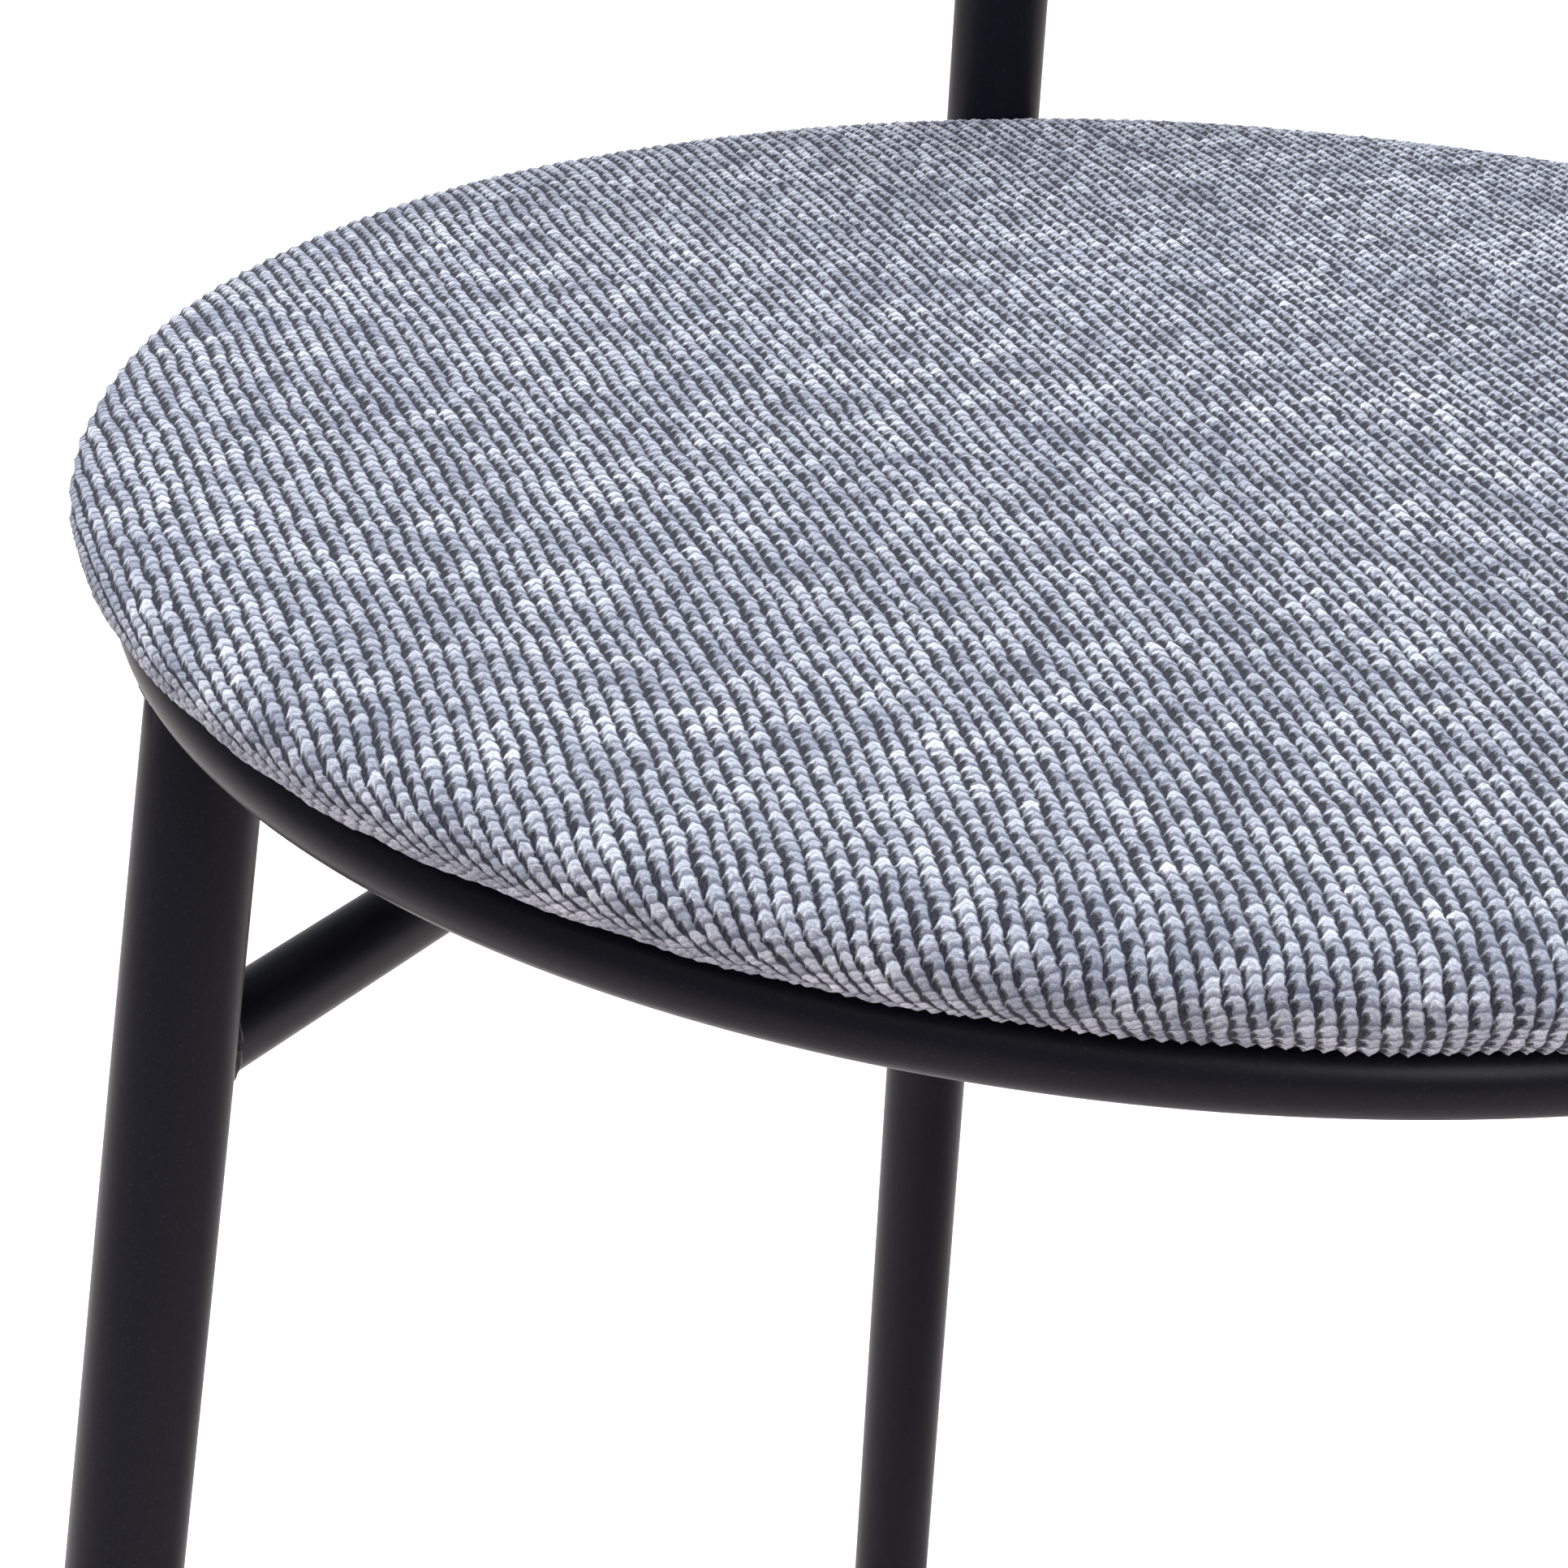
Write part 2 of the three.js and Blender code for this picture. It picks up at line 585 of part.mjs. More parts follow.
// A rounded rectangle seen from the front, deep enough to cut every layer.
function roundedFront(width, height, corner) {
  const x = width / 2;
  const z = height / 2;
  const face = new THREE.Shape();
  face.absarc(x - corner, z - corner, corner, 0, Math.PI / 2);
  face.absarc(-x + corner, z - corner, corner, Math.PI / 2, Math.PI);
  face.absarc(-x + corner, -z + corner, corner, Math.PI, Math.PI * 1.5);
  face.absarc(x - corner, -z + corner, corner, Math.PI * 1.5, Math.PI * 2);
  const prism = new THREE.ExtrudeGeometry(face, {
    depth: BACK_CUT_DEPTH, bevelEnabled: false, curveSegments: 6,
  });
  prism.rotateX(Math.PI / 2);
  prism.translate(0, TRIM, 0);
  return solid(prism);
}

function layer(inner, outer, inset) {
  const width = BACK_WIDTH - 2 * inset;
  const height = BACK_HEIGHT - 2 * inset;
  return curvedBand(inner, outer, width, height, BACK_CORNER_RADIUS - inset);
}

const backScrews = [];
for (const [side, x] of [['right', BACK_SCREW_X], ['left', -BACK_SCREW_X]]) {
  for (const [level, z] of [['upper', BACK_SCREW_Z], ['lower', -BACK_SCREW_Z]]) {
    backScrews.push({ name: `${level}_${side}`, x, z });
  }
}

// Geometry built along +Z, turned to point at the line that the backrest curves around, with its
// zero at a distance from that line.
function atBackScrew(geometry, place, radius) {
  const placed = geometry.clone();
  placed.rotateX(Math.PI / 2);
  placed.translate(0, radius, 0);
  placed.rotateZ(-Math.asin(place.x / radius));
  placed.translate(0, -BACK_CURVE_RADIUS, place.z);
  return placed;
}

function backPanel() {
  let panel = layer(panelInner, panelOuter, COVER_THICKNESS + GAP);
  const hole = teeNutHole(BACK_PANEL_THICKNESS);
  for (const place of backScrews) {
    panel = panel.subtract(solid(atBackScrew(hole, place, panelOuter)));
  }
  return piece('back_panel', panel, plywoodFinish());
}

function backFoam() {
  const foam = layer(foamInner, foamOuter, COVER_THICKNESS + GAP);
  return piece('back_foam', foam, foamFinish());
}

function backCover() {
  const outside = layer(coverInner, coverOuter, 0);
  const inside = layer(coverInner + COVER_THICKNESS, coverOuter - COVER_THICKNESS, COVER_THICKNESS);
  const mouthWidth = BRACKET_WIDTH + 2 * BACK_MOUTH_MARGIN;
  const mouthHeight = BRACKET_HEIGHT + 2 * BACK_MOUTH_MARGIN;
  const mouthY = panelOuter - BACK_CURVE_RADIUS - BACK_MOUTH_MARGIN + TRIM / 2;
  const mouth = block(mouthWidth, TRIM, mouthHeight, 0, mouthY, 0);
  return piece('back_cover', outside.subtract(inside).subtract(mouth), fabricFinish());
}

// The rolled steel plate between the post and the panel.
function backBracket() {
  let plate = curvedBand(plateInner, plateOuter, BRACKET_WIDTH, BRACKET_HEIGHT, 8);
  for (const place of backScrews) {
    const hole = cylinder(SCREW_HOLE_RADIUS, -TRIM, TRIM, SMALL_SIDES);
    plate = plate.subtract(solid(atBackScrew(hole, place, plateOuter)));
  }
  return piece('back_bracket', plate, steelFinish());
}

function backFasteners() {
  const group = new THREE.Group();
  const screwLength = BRACKET_THICKNESS + BACK_PANEL_THICKNESS - 1;
  for (const place of backScrews) {
    const nut = solid(atBackScrew(teeNut(BACK_PANEL_THICKNESS), place, panelOuter));
    const bolt = solid(atBackScrew(screw(screwLength), place, plateOuter + GAP));
    group.add(piece(`back_tee_nut_${place.name}`, nut, zincFinish()));
    group.add(piece(`back_screw_${place.name}`, bolt, zincFinish()));
  }
  return group;
}

function backrest() {
  const group = new THREE.Group();
  group.add(backPanel(), backFoam(), backCover(), backBracket(), backFasteners());
  group.position.copy(bendEnd).addScaledVector(upperDirection, BACK_CENTRE);
  group.rotation.x = -POST_LEAN;
  return group;
}

// ---------------------------------------------------------------- assembly

const frame = new THREE.Group();
frame.add(seatRing(), rearPost(), postCap());
for (const [name, side] of [['left', LEFT], ['right', RIGHT]]) {
  frame.add(frontLeg(`front_leg_${name}`, side));
  frame.add(stretcher(`stretcher_${name}`, side));
  frame.add(glide(`glide_front_${name}`, legPoint(side, 0), legDirection(side), LEG_RADIUS));
}
frame.add(glide('glide_rear', postPoint(0), postDirection(), TUBE_RADIUS));

const seat = new THREE.Group();
seat.add(seatBoard(), seatFoam(), seatCover(), seatLiner(), seatFasteners());

const chair = new THREE.Group();
chair.add(frame, seat, backrest());

// Moves the chair along Y so that the origin is under the middle of its outer box.
const box = new THREE.Box3().setFromObject(chair);
chair.position.y = -(box.min.y + box.max.y) / 2;

export default chair;
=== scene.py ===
"""Looks for the three-legged dining chair: black powder-coated tube, and a seat and backrest covered
in a coarse diagonal twill. Metres; +Z up, +Y to the rear. Lengths named _MM are in millimetres."""

import json
import math

import bmesh
import bpy
import numpy as np
from mathutils import Euler, Matrix, Vector


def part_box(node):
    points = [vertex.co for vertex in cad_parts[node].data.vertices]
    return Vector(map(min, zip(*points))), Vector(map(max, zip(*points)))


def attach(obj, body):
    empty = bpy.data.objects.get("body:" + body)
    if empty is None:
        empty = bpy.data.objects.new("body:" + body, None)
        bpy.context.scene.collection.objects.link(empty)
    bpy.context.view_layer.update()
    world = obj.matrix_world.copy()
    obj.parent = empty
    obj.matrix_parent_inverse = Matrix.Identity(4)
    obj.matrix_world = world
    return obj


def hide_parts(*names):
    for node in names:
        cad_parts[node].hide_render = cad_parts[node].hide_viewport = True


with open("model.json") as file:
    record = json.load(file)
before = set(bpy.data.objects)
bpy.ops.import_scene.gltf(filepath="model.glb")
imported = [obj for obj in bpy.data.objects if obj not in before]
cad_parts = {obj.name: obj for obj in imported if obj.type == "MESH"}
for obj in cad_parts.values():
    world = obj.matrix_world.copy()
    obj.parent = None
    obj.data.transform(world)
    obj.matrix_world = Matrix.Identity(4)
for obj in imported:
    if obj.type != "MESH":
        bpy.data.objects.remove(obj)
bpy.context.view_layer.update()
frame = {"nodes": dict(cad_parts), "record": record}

MM = 0.001
ROOT = "root"

# ------------------------------------------------------------------ the frame's own dimensions

RING_LOW, RING_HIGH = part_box("seat_ring")
RING_CENTRE = (Vector(RING_LOW) + Vector(RING_HIGH)) / 2
RING_ROD = (RING_HIGH[2] - RING_LOW[2]) / 2
RING_RADIUS = (RING_HIGH[0] - RING_LOW[0]) / 2 - RING_ROD

TUBE_RADIUS = 11 * MM
LEG_RADIUS = 11.4 * MM              # the front legs are a little stouter than the post
TAPER_START = 94 * MM
TAPER_RATE = 0.0017
STRETCHER_RADIUS = 8 * MM

LEG_BEARING = math.radians(80.2)
LEG_CIRCLE = 196.4 * MM             # middle of the seat to a front leg's axis, level with the ring
LEG_SPREAD = 0.1266
LEG_RAKE = 0.185
LEG_TOP = 6.5 * MM

POST_SETBACK = RING_RADIUS + RING_ROD + TUBE_RADIUS + 0.4 * MM
POST_RAKE = 0.056
POST_BEND_START = 70 * MM
POST_BEND_RADIUS = 260 * MM
POST_LEAN = math.radians(11)
POST_UPPER_LENGTH = 210 * MM

STRETCHER_FRONT_DROP = 76.1 * MM
STRETCHER_REAR_DROP = 95.6 * MM
GLIDE_HEIGHT = 6 * MM

COPE_LENGTH = 30 * MM               # end of a leg that is shaped to the ring
COPE_STEP = 0.1 * MM
COPE_DEPTH = 0.2 * MM               # how far a leg's rim lies in the ring's surface
WELD_REACH = 0.5 * MM               # a leg's rim is welded where it is this close to the ring


def leg_point(side, height):
    """A point on a front leg's axis, at a height above the ring."""
    x = side * (LEG_CIRCLE * math.sin(LEG_BEARING) - LEG_SPREAD * height)
    y = -LEG_CIRCLE * math.cos(LEG_BEARING) + LEG_RAKE * height
    return RING_CENTRE + Vector((x, y, height))


def post_point(height):
    """A point on the lower, straight part of the post's axis, at a height above the ring."""
    return RING_CENTRE + Vector((0, POST_SETBACK - POST_RAKE * height, height))


def tube_radius(distance, full=TUBE_RADIUS):
    """Outer radius of a leg or the post, at a distance along its axis from the ring."""
    return full - TAPER_RATE * max(0.0, -distance - TAPER_START)


def post_axis():
    """Points down the middle of the post, from its foot to its top."""
    tilt = math.atan(POST_RAKE)
    start = post_point(POST_BEND_START)
    centre_y = start.y + POST_BEND_RADIUS * math.cos(tilt)
    centre_z = start.z + POST_BEND_RADIUS * math.sin(tilt)
    foot = post_point(GLIDE_HEIGHT - RING_CENTRE.z)
    points = [foot.lerp(start, i / 24) for i in range(24)]
    for i in range(17):
        angle = -tilt + (POST_LEAN + tilt) * i / 16
        y = centre_y - POST_BEND_RADIUS * math.cos(angle)
        z = centre_z + POST_BEND_RADIUS * math.sin(angle)
        points.append(Vector((0, y, z)))
    upper = Vector((0, math.sin(POST_LEAN), math.cos(POST_LEAN)))
    bend_end = points[-1].copy()
    points += [bend_end + upper * POST_UPPER_LENGTH * i / 8 for i in range(1, 9)]
    return points, bend_end, upper


# ------------------------------------------------------------------ node helpers


class Nodes:
    """A short way to write a material's node tree."""

    def __init__(self, name):
        self.material = bpy.data.materials.new(name)
        self.material.use_nodes = True
        self.tree = self.material.node_tree
        self.shader = self.tree.nodes["Principled BSDF"]

    def add(self, kind, **settings):
        node = self.tree.nodes.new(kind)
        for key, value in settings.items():
            setattr(node, key, value)
        return node

    def join(self, value, socket):
        if isinstance(value, bpy.types.NodeSocket):
            self.tree.links.new(value, socket)
        else:
            socket.default_value = value

    def math(self, operation, a, b=0.0, c=0.0):
        node = self.add("ShaderNodeMath", operation=operation)
        for value, socket in zip((a, b, c), node.inputs):
            self.join(value, socket)
        return node.outputs[0]

    def smooth(self, value, low, high, to_low=0.0, to_high=1.0):
        node = self.add("ShaderNodeMapRange", interpolation_type="SMOOTHSTEP")
        for key, number in (("Value", value), ("From Min", low), ("From Max", high)):
            self.join(number, node.inputs[key])
        node.inputs["To Min"].default_value = to_low
        node.inputs["To Max"].default_value = to_high
        return node.outputs[0]

    def vector(self, x, y, z=0.0):
        node = self.add("ShaderNodeCombineXYZ")
        for value, socket in zip((x, y, z), node.inputs):
            self.join(value, socket)
        return node.outputs[0]

    def noise(self, vector, scale, detail=2.0, roughness=0.5):
        node = self.add("ShaderNodeTexNoise")
        self.join(vector, node.inputs["Vector"])
        node.inputs["Scale"].default_value = scale
        node.inputs["Detail"].default_value = detail
        node.inputs["Roughness"].default_value = roughness
        return node.outputs["Fac"]

    def random(self, vector):
        node = self.add("ShaderNodeTexWhiteNoise", noise_dimensions="3D")
        self.join(vector, node.inputs["Vector"])
        return node.outputs["Value"]

    def mix(self, factor, a, b):
        node = self.add("ShaderNodeMix", data_type="RGBA")
        for value, socket in ((factor, "Factor"), (a, "A"), (b, "B")):
            self.join(value, node.inputs[socket])
        return node.outputs["Result"]

    def place(self):
        return self.add("ShaderNodeTexCoord").outputs["Object"]

    def bump(self, height, strength, distance, below=None):
        node = self.add("ShaderNodeBump")
        self.join(height, node.inputs["Height"])
        node.inputs["Strength"].default_value = strength
        node.inputs["Distance"].default_value = distance
        if below is not None:
            self.join(below, node.inputs["Normal"])
        return node.outputs["Normal"]

    def finish(self, colour=None, roughness=None, normal=None, **constants):
        inputs = self.shader.inputs
        if colour is not None:
            self.join(colour, inputs["Base Color"])
        if roughness is not None:
            self.join(roughness, inputs["Roughness"])
        if normal is not None:
            self.join(normal, inputs["Normal"])
        for key, value in constants.items():
            inputs[key.replace("_", " ")].default_value = value
        return self.material


def rgb(red, green, blue):
    """An opaque linear colour."""
    return (red, green, blue, 1.0)


# ------------------------------------------------------------------ materials


def powder_coat():
    """Matt blue-black powder coat: a fine orange-peel grain over slow unevenness."""
    n = Nodes("powder_coat")
    place = n.place()
    grain = n.noise(place, 2600, 3.0, 0.6)
    peel = n.noise(place, 700, 2.0, 0.5)
    cloud = n.noise(place, 22, 3.0, 0.55)
    fleck = n.smooth(n.noise(place, 1900, 1.0, 0.5), 0.62, 0.74)
    tone = n.mix(cloud, rgb(0.0030, 0.0030, 0.0056), rgb(0.0050, 0.0048, 0.0084))
    colour = n.mix(n.math("MULTIPLY", fleck, 0.30), tone, rgb(0.020, 0.022, 0.032))
    rough = n.math("ADD", n.math("MULTIPLY", grain, 0.08), 0.33)
    fine = n.bump(grain, 0.25, 0.00005)
    normal = n.bump(peel, 0.10, 0.00015, fine)
    return n.finish(colour, rough, normal, Specular_IOR_Level=0.095)


def weld_metal():
    """A painted weld bead: ripples under the same coat."""
    n = Nodes("painted_weld")
    place = n.place()
    ripple = n.noise(place, 900, 2.0, 0.6)
    colour = n.mix(ripple, rgb(0.004, 0.0042, 0.0065), rgb(0.009, 0.009, 0.012))
    rough = n.math("ADD", n.math("MULTIPLY", ripple, 0.2), 0.36)
    return n.finish(colour, rough, n.bump(ripple, 0.5, 0.0005), Specular_IOR_Level=0.25)


RIB_PITCH = 3.2                     # millimetres from rib to rib
STITCH_PITCH = 2.95                 # millimetres from stitch to stitch along a rib
RIB_SHIFT = 0.276                   # part of a stitch by which each rib is offset
STITCH_ARCH = 0.42                  # how far a stitch's edge arches, as part of a stitch
GROOVE_AT = 0.10                    # place of the groove and of the crest across a rib
CREST_AT = 0.60


def twill():
    """Stacked pale stitches in diagonal ribs, with the navy yarn beneath showing in the grooves, darkened
    there nearly to black as painted shade, and with painted shade under each stitch. It reads the weave
    attribute: millimetres across the ribs and along them."""
    n = Nodes("twill")
    weave = n.add("ShaderNodeAttribute", attribute_name="weave").outputs["Vector"]
    split = n.add("ShaderNodeSeparateXYZ")
    n.join(weave, split.inputs[0])
    across_raw, along_raw = split.outputs[0], split.outputs[1]

    # The yarn wanders a little, so no rib is dead straight.
    wobble = n.math("SUBTRACT", n.noise(weave, 0.55, 2.0, 0.6), 0.5)
    wobble_2 = n.math("SUBTRACT", n.noise(n.vector(along_raw, across_raw, 9.0), 0.5, 2.0, 0.6), 0.5)
    across = n.math("DIVIDE", n.math("MULTIPLY_ADD", wobble, 1.1, across_raw), RIB_PITCH)
    rib = n.math("FLOOR", across)
    a = n.math("SUBTRACT", across, rib)
    centred = n.math("MULTIPLY_ADD", a, 2.0, -2 * CREST_AT)
    arch = n.math("MULTIPLY", n.math("MULTIPLY", centred, centred), STITCH_ARCH)
    along = n.math("DIVIDE", n.math("MULTIPLY_ADD", wobble_2, 1.0, along_raw), STITCH_PITCH)
    along = n.math("ADD", n.math("MULTIPLY_ADD", rib, RIB_SHIFT, along), arch)
    stitch = n.math("FLOOR", along)
    b = n.math("SUBTRACT", along, stitch)
    chance = n.random(n.vector(rib, stitch, 1.0))
    chance_2 = n.random(n.vector(rib, stitch, 5.0))

    # Each stitch shows two strands, raised and lit on their upper edges and low where one tucks under the
    # next; the colour below also paints shade on those low parts.
    half = n.math("MULTIPLY", b, 2.0)
    strand = n.math("FRACT", half)
    strand_up = n.smooth(strand, 0.0, 0.62)
    strand_down = n.smooth(strand, 0.86, 1.0, 1.0, 0.3)
    strand_height = n.math("MULTIPLY", strand_up, strand_down)
    stitch_up = n.smooth(b, 0.02, 0.55)
    stitch_down = n.smooth(b, 0.90, 1.0, 1.0, 0.35)
    stitch_height = n.math("MULTIPLY", stitch_up, stitch_down)
    fuzz = n.noise(weave, 2.6, 4.0, 0.75)
    stretched = n.vector(n.math("MULTIPLY", across_raw, 0.7), n.math("MULTIPLY", along, 4.4))
    hairs = n.noise(stretched, 2.0, 3.0, 0.7)

    # The groove to the left of each rib: a row of dark scallops, one under each stitch, where the navy
    # yarn beneath shows and is darkened further as painted shade.
    scallop = n.math("MULTIPLY", n.math("SUBTRACT", b, 0.42), n.math("SUBTRACT", b, 0.42))
    left = n.math("ADD", n.math("ADD", scallop, a), n.math("MULTIPLY_ADD", fuzz, 0.40, -0.20))
    left = n.math("ADD", left, n.math("MULTIPLY_ADD", chance, 0.26, -0.13))
    cover_left = n.smooth(left, 0.24, 0.46)
    right = n.math("ADD", a, n.math("MULTIPLY_ADD", fuzz, 0.20, -0.10))
    cover_right = n.smooth(right, 0.90, 1.06, 1.0, 0.35)
    rib_cover = n.math("MULTIPLY", cover_left, cover_right)

    height = n.math("MULTIPLY", rib_cover, n.math("MULTIPLY_ADD", stitch_height, 0.42, 0.42))
    height = n.math("MULTIPLY_ADD", strand_height, 0.13, height)
    height = n.math("MULTIPLY_ADD", fuzz, 0.22, height)
    height = n.math("MULTIPLY_ADD", hairs, 0.12, height)

    # Colour: marled yarn, each stitch a shade of its own, in slow light and dark patches.
    patch = n.noise(n.vector(n.math("MULTIPLY", across_raw, 0.6), along_raw, 2.0), 0.06, 4.0, 0.65)
    shade = n.math("MULTIPLY_ADD", chance, 0.20, n.math("MULTIPLY", patch, 0.85))
    shade = n.math("ADD", shade, n.math("MULTIPLY_ADD", fuzz, 0.85, -0.68))
    shade = n.math("MULTIPLY_ADD", hairs, 0.75, n.math("SUBTRACT", shade, 0.30))
    yarn = n.mix(n.smooth(shade, 0.0, 0.95), rgb(0.185, 0.198, 0.252), rgb(0.79, 0.80, 0.86))
    slate = n.smooth(chance_2, 0.84, 0.98, 0.0, 0.35)
    yarn = n.mix(slate, yarn, rgb(0.17, 0.19, 0.25))
    # Painted shade: the yarn is darkened towards navy where stitches and strands are low, where one tucks
    # under the next.
    painted_tuck_shade = n.math("MULTIPLY_ADD", stitch_height, -0.50, 0.50)
    painted_tuck_shade = n.math("MULTIPLY_ADD", strand_height, -0.36, n.math("ADD", painted_tuck_shade, 0.30))
    body = n.mix(painted_tuck_shade, yarn, rgb(0.060, 0.066, 0.105))
    # Navy yarn beneath the ribs, its colour mixed with painted shade that darkens it nearly to black in
    # the grooves.
    ground_and_groove_shade = n.mix(n.smooth(fuzz, 0.45, 0.78), rgb(0.004, 0.0045, 0.012), rgb(0.045, 0.047, 0.072))
    colour = n.mix(rib_cover, ground_and_groove_shade, body)

    normal = n.bump(height, 1.0, 0.0014)
    inputs = n.shader.inputs
    inputs["Sheen Weight"].default_value = 0.10
    inputs["Sheen Roughness"].default_value = 0.6
    return n.finish(colour, 0.93, normal, Specular_IOR_Level=0.10)


def foam():
    """Pale upholstery foam with open cells."""
    n = Nodes("foam")
    cells = n.noise(n.place(), 900, 4.0, 0.7)
    colour = n.mix(cells, rgb(0.62, 0.55, 0.38), rgb(0.82, 0.77, 0.62))
    return n.finish(colour, 0.95, n.bump(cells, 0.6, 0.0006))


def plywood():
    """Birch plywood: grain on the faces and thin dark glue lines on the edges."""
    n = Nodes("birch_plywood")
    place = n.place()
    split = n.add("ShaderNodeSeparateXYZ")
    n.join(place, split.inputs[0])
    long_place = n.vector(n.math("MULTIPLY", split.outputs[0], 9.0), split.outputs[1], split.outputs[2])
    grain = n.noise(long_place, 60, 6.0, 0.6)
    plies = n.math("SINE", n.math("MULTIPLY", split.outputs[2], 4200.0))
    glue = n.smooth(plies, 0.75, 1.0, 0.0, 0.5)
    colour = n.mix(grain, rgb(0.42, 0.27, 0.13), rgb(0.64, 0.47, 0.28))
    colour = n.mix(glue, colour, rgb(0.20, 0.12, 0.06))
    return n.finish(colour, n.math("MULTIPLY_ADD", grain, 0.2, 0.55), n.bump(grain, 0.2, 0.0003))


def liner():
    """Black spun-bonded liner: matted fibres with a small embossed grid."""
    n = Nodes("spun_bonded_liner")
    place = n.place()
    fibres = n.noise(place, 1500, 4.0, 0.75)
    split = n.add("ShaderNodeSeparateXYZ")
    n.join(place, split.inputs[0])
    grid_x = n.math("SINE", n.math("MULTIPLY", split.outputs[0], 3100.0))
    grid_y = n.math("SINE", n.math("MULTIPLY", split.outputs[1], 3100.0))
    dots = n.smooth(n.math("MULTIPLY", grid_x, grid_y), 0.4, 0.8)
    colour = n.mix(fibres, rgb(0.008, 0.008, 0.009), rgb(0.035, 0.035, 0.038))
    height = n.math("SUBTRACT", fibres, n.math("MULTIPLY", dots, 0.5))
    return n.finish(colour, 0.85, n.bump(height, 0.6, 0.0003))


def zinc():
    """Dull zinc plate on the screws, washers and nuts."""
    n = Nodes("zinc_plate")
    place = n.place()
    scratch = n.noise(place, 1400, 3.0, 0.6)
    cloud = n.noise(place, 120, 2.0)
    colour = n.mix(cloud, rgb(0.45, 0.46, 0.47), rgb(0.62, 0.62, 0.60))
    rough = n.math("MULTIPLY_ADD", scratch, 0.25, 0.22)
    return n.finish(colour, rough, n.bump(scratch, 0.15, 0.0001), Metallic=1.0)


def plastic():
    """Black moulded plastic of the feet and the post's cap."""
    n = Nodes("moulded_plastic")
    place = n.place()
    stipple = n.noise(place, 1800, 2.0)
    colour = n.mix(n.noise(place, 60, 2.0), rgb(0.010, 0.010, 0.012), rgb(0.016, 0.016, 0.018))
    rough = n.math("MULTIPLY_ADD", stipple, 0.15, 0.45)
    return n.finish(colour, rough, n.bump(stipple, 0.3, 0.0002))


def floor_paint():
    n = Nodes("pale_floor")
    cloud = n.noise(n.place(), 1.5, 2.0)
    colour = n.mix(cloud, rgb(0.97, 0.87, 0.835), rgb(0.98, 0.885, 0.85))
    return n.finish(colour, 0.9, None, Specular_IOR_Level=0.1)


COAT = powder_coat()
WELD = weld_metal()
TWILL = twill()
PLASTIC = plastic()
FOAM = foam()

# ------------------------------------------------------------------ mesh helpers


def piece(name, points, faces, material, replaced=(), smooth=True):
    """A mesh object that rides on the chair and stands for the CAD nodes it names."""
    mesh = bpy.data.meshes.new(name)
    mesh.from_pydata([tuple(p) for p in points], [], faces)
    mesh.validate()
    if smooth:
        mesh.shade_smooth()
    mesh.materials.append(material)
    made = bpy.data.objects.new(name, mesh)
    bpy.context.scene.collection.objects.link(made)
    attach(made, ROOT)
    if replaced:
        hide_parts(*replaced)
    return made


def sharpen(made, degrees):
    """Keeps edges crisp where faces meet at more than an angle."""
    made.data.set_sharp_from_angle(angle=math.radians(degrees))


def side_axes(direction):
    """Two unit vectors square to a direction and to each other."""
    direction = direction.normalized()
    first = direction.cross(Vector((0, 0, 1)) if abs(direction.z) < 0.9 else Vector((0, 1, 0)))
    first.normalize()
    return first, direction.cross(first).normalized()


def loft(rings):
    """Faces that join equal rings of points, with both ends closed."""
    sides = len(rings[0])
    points = [p for ring in rings for p in ring]
    faces = []
    for k in range(len(rings) - 1):
        for i in range(sides):
            j = (i + 1) % sides
            faces.append((k * sides + i, k * sides + j, (k + 1) * sides + j, (k + 1) * sides + i))
    faces.append(tuple(reversed(range(sides))))
    faces.append(tuple(range(len(points) - sides, len(points))))
    return points, faces


def swept_tube(axis, radii, sides):
    """Rings of points round a line of axis points that lies in one plane."""
    rings = []
    first = None
    for k, point in enumerate(axis):
        before = axis[max(k - 1, 0)]
        after = axis[min(k + 1, len(axis) - 1)]
        direction = (after - before).normalized()
        if first is None:
            first, second = side_axes(direction)
        first = (first - direction * first.dot(direction)).normalized()
        second = direction.cross(first)
        ring = []
        for i in range(sides):
            angle = 2 * math.pi * i / sides
            ring.append(point + (first * math.cos(angle) + second * math.sin(angle)) * radii[k])
        rings.append(ring)
    return rings


def cut_flat(ring, direction, height):
    """Slides each point of a ring along the tube until it lies at a height."""
    return [p + direction * ((height - p.z) / direction.z) for p in ring]


def distance_to_line(point, start, direction):
    """Distance from a point to a line through start."""
    arm = point - start
    return (arm - direction * arm.dot(direction)).length


def slide_to(point, direction, reach, limit):
    """The distance along a direction at which reach(point), a signed gap, first becomes zero."""
    low, high = 0.0, limit
    for _ in range(40):
        middle = (low + high) / 2
        if reach(point + direction * middle) > 0:
            low = middle
        else:
            high = middle
    return low


# ------------------------------------------------------------------ steel frame


def bead(name, line, thickness, closed=True, seed=1):
    """A small rippled weld bead along a line of points."""
    rng = np.random.default_rng(seed)
    count = len(line)
    sides = 8
    points, faces = [], []
    for k in range(count):
        ahead = line[(k + 1) % count] if closed else line[min(k + 1, count - 1)]
        back = line[k - 1] if closed else line[max(k - 1, 0)]
        first, second = side_axes(ahead - back)
        ripple = 1 + 0.10 * math.sin(k * 1.7) + 0.05 * rng.standard_normal()
        for i in range(sides):
            angle = 2 * math.pi * i / sides
            arm = first * math.cos(angle) + second * math.sin(angle)
            points.append(line[k] + arm * thickness * ripple)
    for k in range(count if closed else count - 1):
        nxt = (k + 1) % count
        for i in range(sides):
            j = (i + 1) % sides
            faces.append((k * sides + i, k * sides + j, nxt * sides + j, nxt * sides + i))
    if not closed:
        faces.append(tuple(reversed(range(sides))))
        faces.append(tuple(range(len(points) - sides, len(points))))
    return piece(name, points, faces, WELD)


